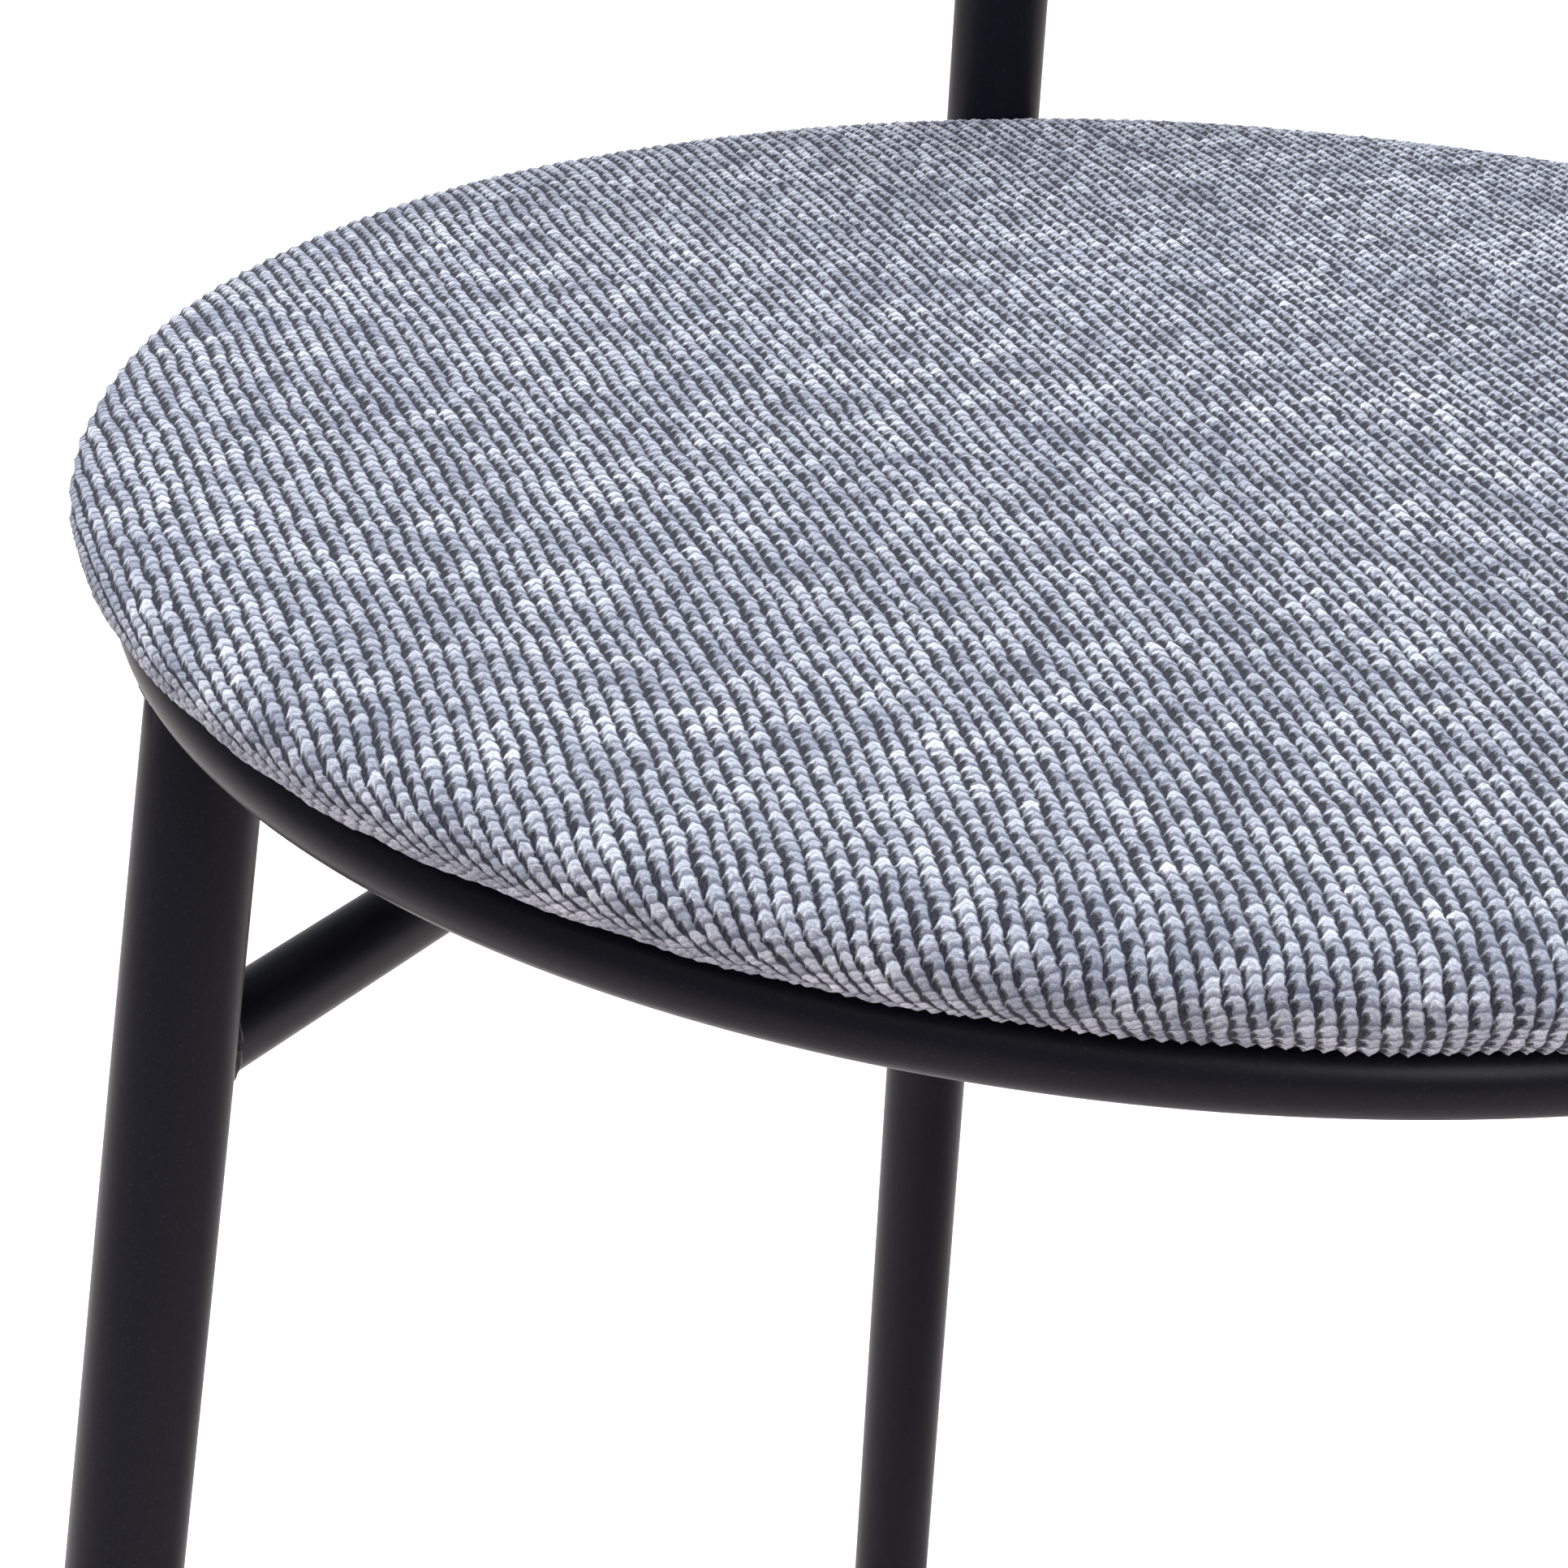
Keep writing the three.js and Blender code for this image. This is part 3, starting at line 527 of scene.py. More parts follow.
def seat_ring():
    """The closed ring of steel rod under the seat."""
    around, section = 288, 32
    points, faces = [], []
    for k in range(around):
        turn = 2 * math.pi * k / around
        out = Vector((math.cos(turn), math.sin(turn), 0))
        for i in range(section):
            angle = 2 * math.pi * i / section
            arm = out * math.cos(angle) + Vector((0, 0, math.sin(angle)))
            points.append(RING_CENTRE + out * RING_RADIUS + arm * RING_ROD)
    for k in range(around):
        nxt = (k + 1) % around
        for i in range(section):
            j = (i + 1) % section
            faces.append((k * section + i, nxt * section + i, nxt * section + j, k * section + j))
    return piece("seat_ring_rod", points, faces, COAT, ["seat_ring"])


def ring_gap(point):
    """Distance from a point to the surface of the ring, less than zero inside the rod."""
    arm = point - RING_CENTRE
    radial = math.hypot(arm.x, arm.y) - RING_RADIUS
    return math.hypot(radial, arm.z) - RING_ROD


def front_leg(name, side):
    """A tapered tube, coped at the top round the ring."""
    top, foot = leg_point(side, 0), leg_point(side, GLIDE_HEIGHT - RING_CENTRE.z)
    direction = (top - foot).normalized()
    length = (top - foot).length
    steps = 24
    stations = [-length + (length - COPE_LENGTH) * i / steps for i in range(steps + 1)]
    axis = [top + direction * s for s in stations]
    rings = swept_tube(axis, [tube_radius(s, LEG_RADIUS) for s in stations], 96)
    rings[0] = cut_flat(rings[0], direction, GLIDE_HEIGHT)
    coped = []
    for p in rings[-1]:
        highest = (RING_CENTRE.z + LEG_TOP - p.z) / direction.z
        reach = 0.0
        while reach < highest and ring_gap(p + direction * reach) > -COPE_DEPTH:
            reach += COPE_STEP
        coped.append(p + direction * min(reach, highest))
    for k in (1, 2, 3):
        rings.append([a.lerp(b, k / 3) for a, b in zip(rings[steps], coped)])
    points, faces = loft(rings)
    made = piece(name + "_tube", points, faces, COAT, [name])
    sharpen(made, 50)
    line = [p - direction * 0.3 * MM if ring_gap(p) < WELD_REACH else None for p in coped]
    for part, run in enumerate(runs_of(line)):
        if len(run) > 4:
            bead(f"{name}_weld_{part}", run, 1.25 * MM, closed=False, seed=part + 3)
    return made


def runs_of(line):
    """The unbroken runs in a closed line whose gaps are None."""
    count = len(line)
    if None not in line:
        return [line]
    start = line.index(None)
    runs, run = [], []
    for k in range(1, count + 1):
        p = line[(start + k) % count]
        if p is None:
            if run:
                runs.append(run)
            run = []
        else:
            run.append(p)
    return runs


def rear_post():
    """The bent tube that is the rear leg and carries the backrest."""
    axis = post_axis()[0]
    level = post_point(0)
    direction = (post_point(1) - level).normalized()
    radii = [tube_radius((p - level).dot(direction)) for p in axis]
    rings = swept_tube(axis, radii, 64)
    rings[0] = cut_flat(rings[0], direction, GLIDE_HEIGHT)
    points, faces = loft(rings)
    made = piece("rear_post_tube", points, faces, COAT, ["rear_post"])
    sharpen(made, 50)
    return made


def stretcher(name, side):
    """A tube from a front leg to the post, coped at both ends, with a bead round each."""
    front, rear = leg_point(side, -STRETCHER_FRONT_DROP), post_point(-STRETCHER_REAR_DROP)
    direction = (rear - front).normalized()
    length = (rear - front).length
    leg_start, leg_way = leg_point(side, 0), (leg_point(side, 1) - leg_point(side, 0)).normalized()
    post_start, post_way = post_point(0), (post_point(1) - post_point(0)).normalized()

    def leg_gap(p):
        return distance_to_line(p, leg_start, leg_way) - LEG_RADIUS

    def post_gap(p):
        return min(distance_to_line(p, post_start, post_way) - TUBE_RADIUS, side * p.x - 0.1 * MM)

    spare = 0.12                    # part of the length at each end that is shaped to its tube
    middle = [front.lerp(rear, t) for t in (spare, 0.5, 1 - spare)]
    rings = swept_tube(middle, [STRETCHER_RADIUS] * 3, 40)
    near = [p - direction * slide_to(p, -direction, leg_gap, length * spare) for p in rings[0]]
    far = [p + direction * slide_to(p, direction, post_gap, length * spare) for p in rings[-1]]
    points, faces = loft([near, *rings, far])
    made = piece(name + "_tube", points, faces, COAT, [name])
    sharpen(made, 50)
    bead(f"{name}_weld_front", near, 1.3 * MM, seed=11)
    bead(f"{name}_weld_rear", far, 1.3 * MM, seed=12)
    return made


def glide(name, node, point, direction, radius):
    """A moulded foot under a tube: a rounded lower edge and a thin shadow line under the tube."""
    neck_top = 6.5 * MM
    heights = [0, 0.4 * MM, 1.6 * MM, 4.9 * MM, 5.4 * MM]
    sizes = [radius - 1.6 * MM, radius - 0.6 * MM, radius, radius, radius - 0.5 * MM]
    rings = []
    for height, size in zip(heights, sizes):
        centre = point + direction * ((height - point.z) / direction.z)
        first, second = side_axes(direction)
        ring = []
        for i in range(48):
            angle = 2 * math.pi * i / 48
            ring.append(centre + (first * math.cos(angle) + second * math.sin(angle)) * size)
        rings.append(cut_flat(ring, direction, height))
    neck = [p.lerp(point + direction * ((neck_top - point.z) / direction.z), 0.2) for p in rings[-1]]
    rings.append(cut_flat(neck, direction, neck_top))
    points, faces = loft(rings)
    return piece(name, points, faces, PLASTIC, [node])


# ------------------------------------------------------------------ seat


def bezier(p0, p1, p2, p3, count):
    """Points of a cubic curve, without its first point."""
    t = np.linspace(0, 1, count + 1)[1:, None]
    p0, p1, p2, p3 = (np.array(p, float) for p in (p0, p1, p2, p3))
    s = 1 - t
    return s**3 * p0 + 3 * s * s * t * p1 + 3 * s * t * t * p2 + t**3 * p3


# The seat's outer profile in millimetres: radius, and height above the middle of the ring.
PAD_CROWN = 31.0
PAD_SHOULDER = (190.0, 27.6)
PAD_WIDEST = (218.4, 16.2)
PAD_UNDER = (210.8, 6.9)
PAD_HEM = (199.0, 6.85)


def pad_profile():
    """Arc length, radius and height down the seat's outer profile, from its middle to its hem."""
    radius = np.linspace(0, PAD_SHOULDER[0], 96)
    drop = (PAD_CROWN - PAD_SHOULDER[1]) * (radius / PAD_SHOULDER[0]) ** 2.4
    top = np.stack([radius, PAD_CROWN - drop], 1)
    slope = -2.4 * (PAD_CROWN - PAD_SHOULDER[1]) / PAD_SHOULDER[0]
    shoulder = np.array(PAD_SHOULDER)
    widest = np.array(PAD_WIDEST)
    under = np.array(PAD_UNDER)
    over = bezier(shoulder, shoulder + (17, 17 * slope), widest + (0, 8.0), widest, 40)
    roll = bezier(widest, widest - (0.4, 4.4), under + (2.2, 0.4), under, 30)
    hem = bezier(under, under - (4, 0), np.array(PAD_HEM) + (4, 0), PAD_HEM, 8)
    line = np.concatenate([top, over, roll, hem])
    length = np.concatenate([[0], np.cumsum(np.hypot(*np.diff(line, axis=0).T))])
    return length, line[:, 0], line[:, 1]


WEAVE_TURN = math.radians(8.6)      # ribs lean this far from straight front to back
FRONT_SWING = 10.5                  # millimetres by which the ribs swing back towards the front
GROOVE_DEPTH = 0.65                 # millimetres from a rib's crest down to its groove
STITCH_RELIEF = 0.16
SWELL_STEP = 7.0                    # grid of the swelling simulation
SWELL_FRAMES = 20


def smooth_noise(u, v, scale, seed):
    """Soft hills from a few random waves, from about minus one to one."""
    rng = np.random.default_rng(seed)
    total = np.zeros_like(u)
    for _ in range(9):
        angle, phase = rng.uniform(0, 2 * math.pi, 2)
        pitch = scale * rng.uniform(0.7, 1.6)
        total += np.sin((u * math.cos(angle) + v * math.sin(angle)) * 2 * math.pi / pitch + phase)
    return total / 4.5


def normals(surface, s, t):
    """Unit normals of a surface given over the flat cloth."""
    step = 0.4
    across = surface(s + step, t)[0] - surface(s - step, t)[0]
    along = surface(s, t + step)[0] - surface(s, t - step)[0]
    normal = np.cross(across, along)
    return normal / np.maximum(np.linalg.norm(normal, axis=-1, keepdims=True), 1e-9)


def grid_faces(index, keep):
    """Quads of a grid of point numbers that touch a kept point, and the points that they use."""
    quads = np.stack([index[:-1, :-1], index[1:, :-1], index[1:, 1:], index[:-1, 1:]], -1)
    quads = quads.reshape(-1, 4)
    quads = quads[keep.reshape(-1)[quads].any(1)]
    used = np.unique(quads)
    remap = np.full(index.size, -1)
    remap[used] = np.arange(len(used))
    return remap[quads], used


def swell(surface, reach_s, reach_t, held, most):
    """How far a stuffed cover swells, found with a cloth simulation of a coarse copy that is blown up
    a little from inside and held at its edge. Returns a grid to look the swelling up in."""
    s_line = np.arange(-reach_s, reach_s + SWELL_STEP, SWELL_STEP)
    t_line = np.arange(-reach_t, reach_t + SWELL_STEP, SWELL_STEP)
    s, t = np.meshgrid(s_line, t_line, indexing="ij")
    grid = np.zeros_like(s)
    points, inside, _ = surface(s, t)
    faces, used = grid_faces(np.arange(s.size).reshape(s.shape), inside)
    mesh = bpy.data.meshes.new("swelling")
    flat = points.reshape(-1, 3)[used] * MM
    mesh.from_pydata(flat.tolist(), [], faces.tolist())
    blown = bpy.data.objects.new("swelling", mesh)
    bpy.context.scene.collection.objects.link(blown)
    edge = blown.vertex_groups.new(name="edge")
    edge.add([int(i) for i in np.nonzero(held(s, t).reshape(-1)[used])[0]], 1.0, "REPLACE")
    cloth = blown.modifiers.new("cloth", "CLOTH")
    settings = cloth.settings
    settings.vertex_group_mass = "edge"
    settings.use_pressure = True
    settings.uniform_pressure_force = 4
    settings.tension_stiffness = 12
    settings.compression_stiffness = 12
    settings.bending_stiffness = 0.5
    settings.effector_weights.gravity = 0
    scene = bpy.context.scene
    for number in range(1, SWELL_FRAMES + 1):
        scene.frame_set(number)
    shaped = blown.evaluated_get(bpy.context.evaluated_depsgraph_get()).to_mesh()
    moved = np.zeros(len(shaped.vertices) * 3)
    shaped.vertices.foreach_get("co", moved)
    travel = (moved.reshape(-1, 3) - flat) / MM
    outward = normals(surface, s, t).reshape(-1, 3)[used]
    rise = (travel * outward).sum(1)
    grid.reshape(-1)[used] = np.clip(rise / max(1e-6, np.percentile(rise, 98)), -0.2, 1.0) * most
    bpy.data.objects.remove(blown)
    scene.frame_set(1)
    return s_line, t_line, grid


def look_up(field, s, t):
    """The value of a grid at places between its points."""
    s_line, t_line, grid = field
    fs = np.clip((s - s_line[0]) / (s_line[1] - s_line[0]), 0, len(s_line) - 1.001)
    ft = np.clip((t - t_line[0]) / (t_line[1] - t_line[0]), 0, len(t_line) - 1.001)
    i, j = fs.astype(int), ft.astype(int)
    fs, ft = fs - i, ft - j
    low = grid[i, j] * (1 - ft) + grid[i, j + 1] * ft
    high = grid[i + 1, j] * (1 - ft) + grid[i + 1, j + 1] * ft
    return low * (1 - fs) + high * fs


def woven(name, surface, reach_s, reach_t, lay, place, swelling, replaced=(), seed=1, extra=None):
    """Twill over a surface. Its points follow the weave: a line of points down each groove and each
    crest, and two rows to a stitch. lay turns weave millimetres into the flat cloth's own."""
    rng = np.random.default_rng(seed)
    reach = math.hypot(reach_s, reach_t)
    ribs = int(reach / RIB_PITCH) + 2
    rows = int(2 * (reach * 1.3) / STITCH_PITCH) + 2
    rib_number = np.repeat(np.arange(-ribs, ribs), 2)
    on_crest = np.tile([0.0, 1.0], 2 * ribs)
    a = np.where(on_crest > 0, CREST_AT, GROOVE_AT)
    row = np.arange(-rows, rows)
    u = np.repeat(((rib_number + a) * RIB_PITCH)[:, None], len(row), 1)
    arch = STITCH_ARCH * (2 * a - 2 * CREST_AT) ** 2
    v = (row[None, :] / 2 - (RIB_SHIFT * rib_number + arch)[:, None]) * STITCH_PITCH
    crest = np.repeat(on_crest[:, None], len(row), 1)
    high = np.repeat((row % 2)[None, :], len(rib_number), 0)
    s, t = lay(u, v)
    s = s + rng.normal(0, 0.13, s.shape)
    t = t + rng.normal(0, 0.15, t.shape)
    keep = (np.abs(s) < reach_s + 8) & (np.abs(t) < reach_t + 8)
    points, inside, pull = surface(s, t)
    outward = normals(surface, s, t)
    relief = (crest - 1) * GROOVE_DEPTH + (high - 1) * STITCH_RELIEF
    relief = relief + rng.normal(0, 0.07, u.shape) * crest
    relief = relief + smooth_noise(s, t, 85, seed + 1) * 0.25 + look_up(swelling, s, t)
    if extra is not None:
        relief = relief + extra(s, t)
    points = points + outward * (relief * inside)[..., None]
    turned = math.atan2(lay(np.zeros(1), np.ones(1))[0][0], lay(np.zeros(1), np.ones(1))[1][0])
    cos, sin = math.cos(turned), math.sin(turned)
    u = u + (pull[..., 0] * cos - pull[..., 1] * sin)
    v = v + (pull[..., 0] * sin + pull[..., 1] * cos)
    faces, used = grid_faces(np.arange(u.size).reshape(u.shape), inside & keep)
    flat = place(points.reshape(-1, 3)[used])
    made = piece(name, flat, [tuple(int(i) for i in f) for f in faces], TWILL, replaced)
    attribute = made.data.attributes.new("weave", "FLOAT_VECTOR", "POINT")
    stored = np.zeros((len(used), 3), np.float32)
    stored[:, 0] = u.reshape(-1)[used]
    stored[:, 1] = v.reshape(-1)[used]
    attribute.data.foreach_set("vector", stored.ravel())
    return made


# ------------------------------------------------------------------ seat cover


def seat_surface():
    """The round pad over its flat cloth: distance from the middle is distance over the pad."""
    length, radius, height = pad_profile()
    edge = length[-1]

    def surface(s, t):
        reach = np.hypot(s, t)
        q = np.minimum(reach, edge)
        unit_s, unit_t = s / np.maximum(reach, 1e-9), t / np.maximum(reach, 1e-9)
        r, z = np.interp(q, length, radius), np.interp(q, length, height)
        x, y = clear_of_post(r * unit_s, r * unit_t, z)
        pull = np.stack([(q - reach) * unit_s, (q - reach) * unit_t], -1)
        return np.stack([x, y, z], -1), reach < edge, pull

    return surface, edge


def seat_lay(u, v):
    """The seat's weave on its flat cloth: turned, and swinging back towards the front."""
    s = u * math.cos(WEAVE_TURN) - v * math.sin(WEAVE_TURN)
    t = u * math.sin(WEAVE_TURN) + v * math.cos(WEAVE_TURN)
    s = s + FRONT_SWING * (np.minimum(t, 0) / 200) ** 3
    drift_s = smooth_noise(s, t, 60, 21) * 0.6 + smooth_noise(s, t, 22, 22) * 0.30
    drift_t = smooth_noise(s, t, 55, 23) * 0.7 + smooth_noise(s, t, 20, 24) * 0.30
    drift_s += smooth_noise(s, t, 9, 25) * 0.22
    drift_t += smooth_noise(s, t, 8, 26) * 0.25
    return s + drift_s, t + drift_t


def seat_cover():
    """The twill over the seat, swelled, with small puckers where it turns under."""
    surface, edge = seat_surface()
    swelling = swell(surface, edge, edge, lambda s, t: np.hypot(s, t) > edge - 42, 0.9)

    def pucker(s, t):
        turn = np.arctan2(t, s)
        q = np.hypot(s, t)
        return 0.2 * np.sin(turn * 46 + 2 * np.sin(turn * 5)) * np.exp(-((q - edge + 16) / 9) ** 2)

    def place(points):
        return points * MM + np.array(RING_CENTRE)

    made = woven("seat_cover_cloth", surface, edge, edge, seat_lay, place, swelling, ["seat_cover"],
                 seed=5, extra=pucker)
    close_below(made)
    return made


FOAM_INSET = 1.7                    # millimetres from the cover to the foam
FOAM_BOTTOM = 18.2
FOAM_TOP = 29.3


def seat_foam():
    """The foam pad, a little inside the cover."""
    _, radius, height = pad_profile()
    sectors = 96
    line = []
    for k in range(8, len(radius), 6):
        if height[k] < FOAM_BOTTOM + 1.3:
            break
        drawn_in = min(1.0, radius[k] / 60 + 0.5)
        line.append(((radius[k] - FOAM_INSET) * drawn_in, height[k] - FOAM_INSET))
    line.append((line[-1][0], FOAM_BOTTOM))
    points, faces = [], []
    for r, z in line:
        for i in range(sectors):
            turn = 2 * math.pi * i / sectors
            x, y = np.array([r * math.cos(turn)]), np.array([r * math.sin(turn)])
            x, y = clear_of_post(x, y, z, FOAM_INSET)
            points.append(RING_CENTRE + Vector((x[0], y[0], z)) * MM)
    top, bottom = len(points), len(points) + 1
    points += [RING_CENTRE + Vector((0, 0, z * MM)) for z in (FOAM_TOP, FOAM_BOTTOM)]
    last = (len(line) - 1) * sectors
    for k in range(len(line) - 1):
        for i in range(sectors):
            j = (i + 1) % sectors
            faces.append(((k + 1) * sectors + i, (k + 1) * sectors + j, k * sectors + j, k * sectors + i))
    for i in range(sectors):
        j = (i + 1) % sectors
        faces.append((i, j, top))
        faces.append((last + j, last + i, bottom))
    made = piece("seat_foam_pad", points, faces, FOAM, ["seat_foam"])
    sharpen(made, 60)
    return made


def clear_of_post(x, y, z, inset=0.0):
    """Presses the rear edge of the pad in where the post passes it."""
    centre = POST_SETBACK / MM - POST_RAKE * z
    gap = TUBE_RADIUS / MM + 0.8 + inset
    dx, dy = x, y - centre
    distance = np.hypot(dx, dy)
    depth = np.clip(gap - distance, 0, None)
    push = np.where(distance > 1e-6, depth / np.maximum(distance, 1e-6), 0)
    near = (distance < gap) & (y > 150)
    x = np.where(near, x + dx * push * 0.6, x)
    front = centre - np.sqrt(np.clip(gap**2 - x**2, 0, None))
    y = np.where(near, np.minimum(y, front), y)
    return x, y


def close_below(made):
    """Closes the open hem with a fan that lies hidden inside the liner."""
    mesh = bmesh.new()
    mesh.from_mesh(made.data)
    rim = [e for e in mesh.edges if e.is_boundary]
    centre = mesh.verts.new(RING_CENTRE + Vector((0, 0, 7.9 * MM)))
    for edge in rim:
        loop = edge.link_loops[0]
        start, end = loop.vert, loop.link_loop_next.vert
        mesh.faces.new((end, start, centre))
    mesh.to_mesh(made.data)
    mesh.free()
    made.data.shade_smooth()


# ------------------------------------------------------------------ backrest cover

BACK_CURVE_RADIUS = 320.0           # millimetres, from the post's axis to the line it curves round
BACK_CENTRE = 158 * MM              # up the leaning part of the post
BACK_FRONT = 276.6                  # distances from that line: the front of the cover and its back
BACK_REAR = 307.0
BACK_MIDDLE = 291.0
BACK_HALF = (228.0, 80.0)           # half of the cover's length round the curve, and of its height
BACK_CORNER = 52.0
BACK_ROLL = (17.0, 13.5)            # rounding of the front edge: inwards and backwards
BACK_REAR_ROLL = 5.0
BACK_HEM = 9.0                      # the front cloth's hem on the back
BACK_TUCK = 0.8                     # the rear cloth's turned edge, this much in and down
BACK_SEAM = 2.5                     # from the rear roll to the rear cloth's edge
BACK_BOARD = (296.5, 303.6)         # front and rear of the board, and of the foam
BACK_FOAM = (279.6, 296.2)
BACK_BOARD_INSET = 2.2
BACK_FOAM_INSET = 12.0
SLAB_STEP = 7.0                     # longest step round the outline of a curved layer


def back_place():
    """Turns local backrest millimetres into the chair's own metres."""
    _, bend_end, upper = post_axis()
    origin = np.array(bend_end + upper * BACK_CENTRE)
    depth = np.array([0, math.cos(POST_LEAN), -math.sin(POST_LEAN)])
    rise = np.array([0, math.sin(POST_LEAN), math.cos(POST_LEAN)])

    def place(points):
        x, y, z = points[:, 0:1], points[:, 1:2], points[:, 2:3]
        return origin + (x * np.array([1.0, 0, 0]) + y * depth + z * rise) * MM

    return place


def curved_surface(half, corner, roll, path, mirror=1.0):
    """A rounded rectangle of cloth bent round the curve. path gives, for the distance past the flat
    part, how far the cloth goes outwards and at what distance from the curve's line it then is."""
    core = corner - roll
    box_s, box_t = half[0] - corner, half[1] - corner
    length, outwards, depth = path
    edge = length[-1]

    def surface(s, t):
        near_s, near_t = np.clip(s, -box_s, box_s), np.clip(t, -box_t, box_t)
        off_s, off_t = s - near_s, t - near_t
        off = np.hypot(off_s, off_t)
        past = np.clip(off - core, 0, edge)
        unit_s, unit_t = off_s / np.maximum(off, 1e-9), off_t / np.maximum(off, 1e-9)
        flat = np.minimum(off, core) + np.interp(past, length, outwards)
        around, up = near_s + unit_s * flat, near_t + unit_t * flat
        radius = np.interp(past, length, depth)
        angle = mirror * around / BACK_MIDDLE
        point = np.stack([radius * np.sin(angle), radius * np.cos(angle) - BACK_CURVE_RADIUS, up], -1)
        shift = np.minimum(core + edge - off, 0)
        return point, off < core + edge, np.stack([shift * unit_s, shift * unit_t], -1)

    return surface, edge


def path_of(points):
    """Arc length along a line of [outwards, distance from the curve's line] points."""
    line = np.array(points, float)
    length = np.concatenate([[0], np.cumsum(np.hypot(*np.diff(line, axis=0).T))])
    return length, line[:, 0], line[:, 1]


def back_lay(u, v):
    """The backrest's weave on its flat cloth."""
    s = u * math.cos(WEAVE_TURN) - v * math.sin(WEAVE_TURN)
    t = u * math.sin(WEAVE_TURN) + v * math.cos(WEAVE_TURN)
    return s + smooth_noise(s, t, 60, 31) * 0.5, t + smooth_noise(s, t, 55, 33) * 0.5


def curved_slab(name, inset, between, material, replaced):
    """A board or foam layer with a rounded outline, bent round the backrest's curve."""
    place = back_place()
    half = (BACK_HALF[0] - inset, BACK_HALF[1] - inset)
    corner = BACK_CORNER - inset
    bends = []
    for side_s, side_t, start in ((1, 1, 0.0), (-1, 1, 0.5), (-1, -1, 1.0), (1, -1, 1.5)):
        for i in range(13):
            turn = (start + 0.5 * i / 12) * math.pi
            s = side_s * (half[0] - corner) + corner * math.cos(turn)
            bends.append((s, side_t * (half[1] - corner) + corner * math.sin(turn)))
    outline = []
    for start, end in zip(bends, bends[1:] + bends[:1]):
        parts = max(1, math.ceil(math.dist(start, end) / SLAB_STEP))
        for i in range(parts):
            part = i / parts
            outline.append(tuple(a + (b - a) * part for a, b in zip(start, end)))
    steps, count = 14, len(outline)
    local = []
    for radius in between:
        for k in range(1, steps + 1):
            for s, t in outline:
                angle = s * k / steps / BACK_MIDDLE
                y = radius * math.cos(angle) - BACK_CURVE_RADIUS
                local.append((radius * math.sin(angle), y, t * k / steps))
        local.append((0, radius - BACK_CURVE_RADIUS, 0))
    face_size = steps * count + 1
    faces = []
    for base, flip in ((0, False), (face_size, True)):
        for i in range(count):
            j = (i + 1) % count
            fan = (base + face_size - 1, base + i, base + j)
            quads = [(base + k * count + i, base + (k + 1) * count + i, base + (k + 1) * count + j,
                      base + k * count + j) for k in range(steps - 1)]
            faces += [tuple(reversed(f)) if flip else f for f in (fan, *quads)]
    rim = (steps - 1) * count
    for i in range(count):
        j = (i + 1) % count
        faces.append((rim + i, face_size + rim + i, face_size + rim + j, rim + j))
    made = piece(name, place(np.array(local)), faces, material, replaced)
    sharpen(made, 40)
    return made


def backrest():
    """The backrest's foam, board and two pieces of cloth."""
    place = back_place()
    foam_pad = curved_slab("back_foam_pad", BACK_FOAM_INSET, BACK_FOAM, FOAM, ["back_foam"])
    board = CAD_FINISH["plywood"]
    curved_slab("back_board", BACK_BOARD_INSET, BACK_BOARD, board, ["back_panel"])
    in_roll, deep_roll = BACK_ROLL
    quarter = np.linspace(0, math.pi / 2, 16)
    line = [(in_roll * math.sin(q), BACK_FRONT + deep_roll * (1 - math.cos(q))) for q in quarter]
    for q in quarter[1:]:
        out = in_roll - BACK_REAR_ROLL * (1 - math.cos(q))
        line.append((out, BACK_REAR - BACK_REAR_ROLL * (1 - math.sin(q))))
    line.append((in_roll - BACK_REAR_ROLL - BACK_HEM, BACK_REAR))
    surface, edge = curved_surface(BACK_HALF, BACK_CORNER, in_roll, path_of(line))
    reach_s = BACK_HALF[0] - in_roll + edge
    reach_t = BACK_HALF[1] - in_roll + edge

    def held(s, t):
        return (np.abs(s) > BACK_HALF[0] + 4) | (np.abs(t) > BACK_HALF[1] + 4)

    swelling = swell(surface, reach_s, reach_t, held, 0.8)
    front = woven("back_cover_cloth", surface, reach_s, reach_t, back_lay, place, swelling,
                  ["back_cover"], seed=7)

    level = BACK_REAR + 0.5
    line = [(BACK_TUCK * math.sin(q), level - BACK_TUCK * (1 - math.cos(q))) for q in quarter[::3]]
    line.append((BACK_TUCK, BACK_REAR - 1.0))
    inset = BACK_REAR_ROLL + BACK_SEAM
    rear_half = (BACK_HALF[0] - inset, BACK_HALF[1] - inset)
    surface, _ = curved_surface(rear_half, BACK_CORNER - inset, BACK_TUCK, path_of(line), mirror=-1.0)
    still = (np.array([-300.0, 300.0]), np.array([-300.0, 300.0]), np.zeros((2, 2)))

    def dent(s, t):
        """The cover is pressed in under the bracket."""
        inside = np.maximum(np.abs(s) - 26, np.abs(t) - 46)
        press = np.clip(1 - inside / 5, 0, 1)
        return -2.6 * press**2 * (3 - 2 * press)

    woven("back_cover_rear_cloth", surface, rear_half[0], rear_half[1], back_lay, place, still,
          seed=8, extra=dent)


# ------------------------------------------------------------------ welds on the ring and bracket


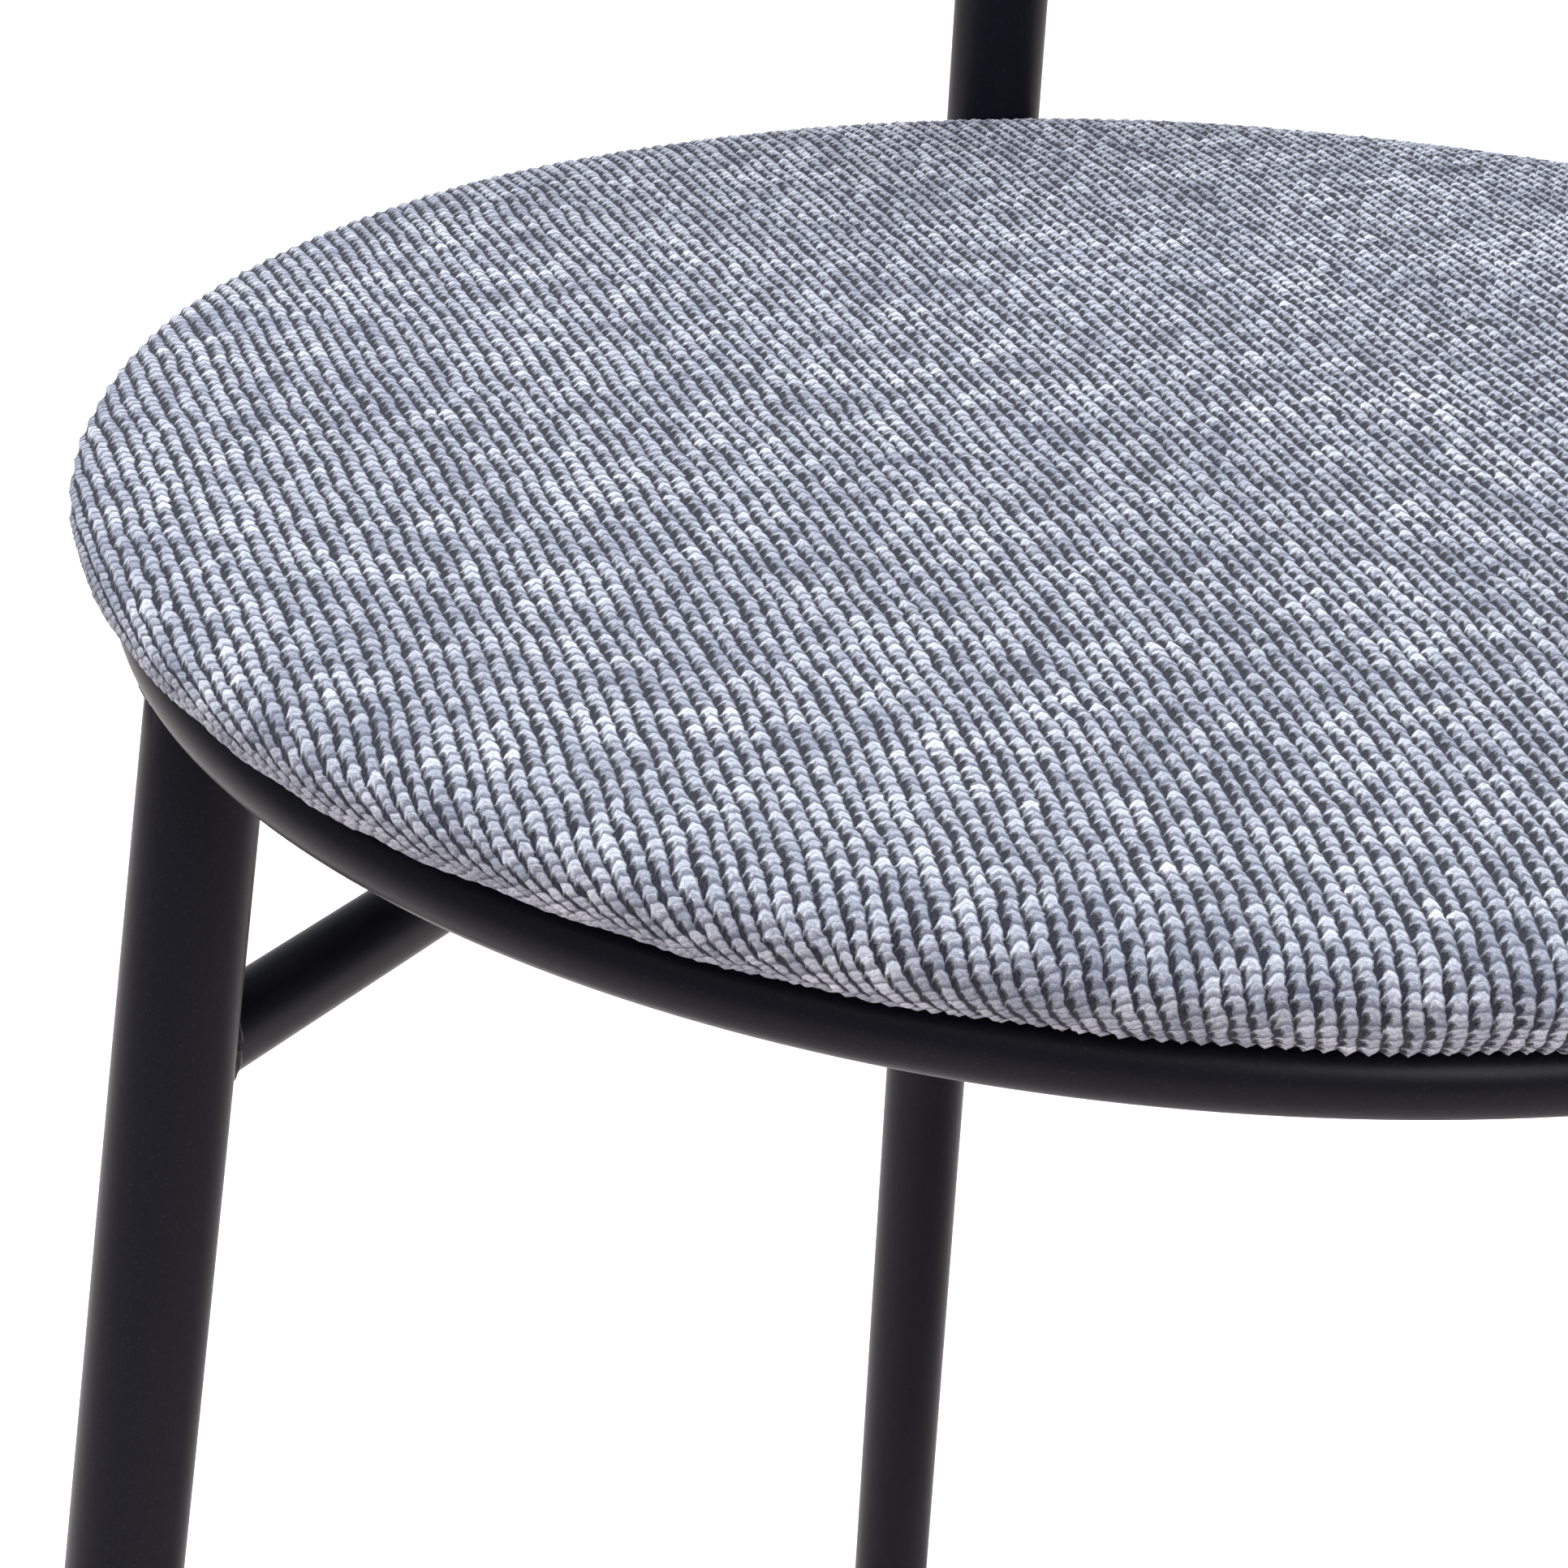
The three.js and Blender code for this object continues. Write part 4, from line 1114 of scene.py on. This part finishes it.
def small_welds():
    """Beads between the post and the ring, the tabs and the ring, and the post and the bracket."""
    for side in (-1, 1):
        middle = POST_SETBACK - TUBE_RADIUS + 0.7 * MM
        line = [RING_CENTRE + Vector((side * 5.2 * MM, middle, h * MM)) for h in np.linspace(-5, 5, 14)]
        bead(f"post_weld_{'left' if side < 0 else 'right'}", line, 1.7 * MM, closed=False, seed=30 + side)
    for number in range(4):
        turn = math.pi / 4 + number * math.pi / 2
        out = Vector((math.cos(turn), math.sin(turn), 0))
        across = Vector((-out.y, out.x, 0))
        middle = RING_CENTRE + out * (RING_RADIUS - 5.9 * MM) + Vector((0, 0, 2.7 * MM))
        line = [middle + across * w * MM for w in np.linspace(-12.5, 12.5, 40)]
        bead(f"tab_weld_{number}", line, 1.4 * MM, closed=False, seed=40 + number)
    place = back_place()
    heights = np.linspace(-45, 45, 110)
    for side in (-1, 1):
        line = place(np.stack([np.full(110, side * 4.9), np.full(110, -10.7), heights], -1))
        name = f"bracket_weld_{'left' if side < 0 else 'right'}"
        bead(name, [Vector(p) for p in line], 1.3 * MM, closed=False, seed=50 + side)


# ------------------------------------------------------------------ build

slots = {subpart["node"]: subpart["material_slot"] for subpart in frame["record"]["subparts"]}
CAD_FINISH = {
    "frame_steel": COAT, "foam": FOAM, "plywood": plywood(), "liner": liner(),
    "zinc_fastener": zinc(), "plastic": PLASTIC, "seat_fabric": TWILL,
}
for name, node in frame["nodes"].items():
    node.data.materials.clear()
    node.data.materials.append(CAD_FINISH[slots[name]])

seat_ring()
rear_post()
for side_name, side in (("left", -1), ("right", 1)):
    front_leg(f"front_leg_{side_name}", side)
    stretcher(f"stretcher_{side_name}", side)
    way = (leg_point(side, 1) - leg_point(side, 0)).normalized()
    foot = tube_radius(-RING_CENTRE.z, LEG_RADIUS)
    glide(f"foot_{side_name}", f"glide_front_{side_name}", leg_point(side, -RING_CENTRE.z), way, foot)
post_way = (post_point(1) - post_point(0)).normalized()
glide("foot_rear", "glide_rear", post_point(-RING_CENTRE.z), post_way, tube_radius(-RING_CENTRE.z))
seat_foam()
seat_cover()
backrest()
small_welds()

# ------------------------------------------------------------------ camera, light and floor


CAMERA_DISTANCE = 0.793169          # from the middle of the ring
CAMERA_AZIMUTH = math.radians(-16.14475)
CAMERA_ELEVATION = math.radians(21.91151)
# Turns from a level look at the middle of the ring, in the camera's own frame: tilt, pan and roll.
CAMERA_TURNS = [math.radians(angle) for angle in (-3.26697, 6.05418, 4.90099)]


def camera():
    """Close on the left front of the seat, looking down across it."""
    data = bpy.data.cameras.new("camera")
    data.sensor_width = 36
    data.lens = 93.17
    data.clip_start = 0.01
    made = bpy.data.objects.new("camera", data)
    bpy.context.scene.collection.objects.link(made)
    level = CAMERA_DISTANCE * math.cos(CAMERA_ELEVATION)
    arm = Vector((level * math.sin(CAMERA_AZIMUTH), -level * math.cos(CAMERA_AZIMUTH),
                  CAMERA_DISTANCE * math.sin(CAMERA_ELEVATION)))
    look = (-arm).to_track_quat("-Z", "Y").to_matrix()
    turn = (look @ Euler(CAMERA_TURNS, "YXZ").to_matrix()).to_4x4()
    made.matrix_world = Matrix.Translation(RING_CENTRE + arm) @ turn
    bpy.context.scene.camera = made
    return made


def area_light(name, place, size, power, colour=(1, 1, 1)):
    """A round light aimed at the middle of the ring."""
    data = bpy.data.lights.new(name, "AREA")
    data.shape = "DISK"
    data.size = size
    data.energy = power
    data.color = colour
    made = bpy.data.objects.new(name, data)
    bpy.context.scene.collection.objects.link(made)
    made.location = place
    made.rotation_mode = "QUATERNION"
    made.rotation_quaternion = (RING_CENTRE - Vector(place)).to_track_quat("-Z", "Y")
    return made


def studio():
    """A pale floor under a soft sky, with a cool light from the left and fill from front and rear."""
    world = bpy.data.worlds.new("studio")
    bpy.context.scene.world = world
    world.use_nodes = True
    background = world.node_tree.nodes["Background"]
    background.inputs["Color"].default_value = (0.84, 0.91, 1.0, 1.0)
    background.inputs["Strength"].default_value = 0.5
    area_light("key", (-0.74, -0.05, 1.98), 0.9, 42, (0.92, 0.96, 1.0))
    area_light("front", (0.5, -1.9, 1.75), 1.0, 27)
    area_light("rear", (0.9, 1.9, 2.0), 1.2, 20)
    sun = bpy.data.lights.new("sky", "SUN")
    sun.energy = 1.55
    sun.angle = math.radians(70)
    above = bpy.data.objects.new("sky", sun)
    bpy.context.scene.collection.objects.link(above)
    above.rotation_euler = (math.radians(12), math.radians(-14), 0)
    size = 40
    corners = [(-size, -size, 0), (size, -size, 0), (size, size, 0), (-size, size, 0)]
    mesh = bpy.data.meshes.new("floor")
    mesh.from_pydata(corners, [], [(0, 1, 2, 3)])
    mesh.materials.append(floor_paint())
    floor = bpy.data.objects.new("floor", mesh)
    bpy.context.scene.collection.objects.link(floor)


camera()
studio()
bpy.context.scene.view_settings.view_transform = "Standard"
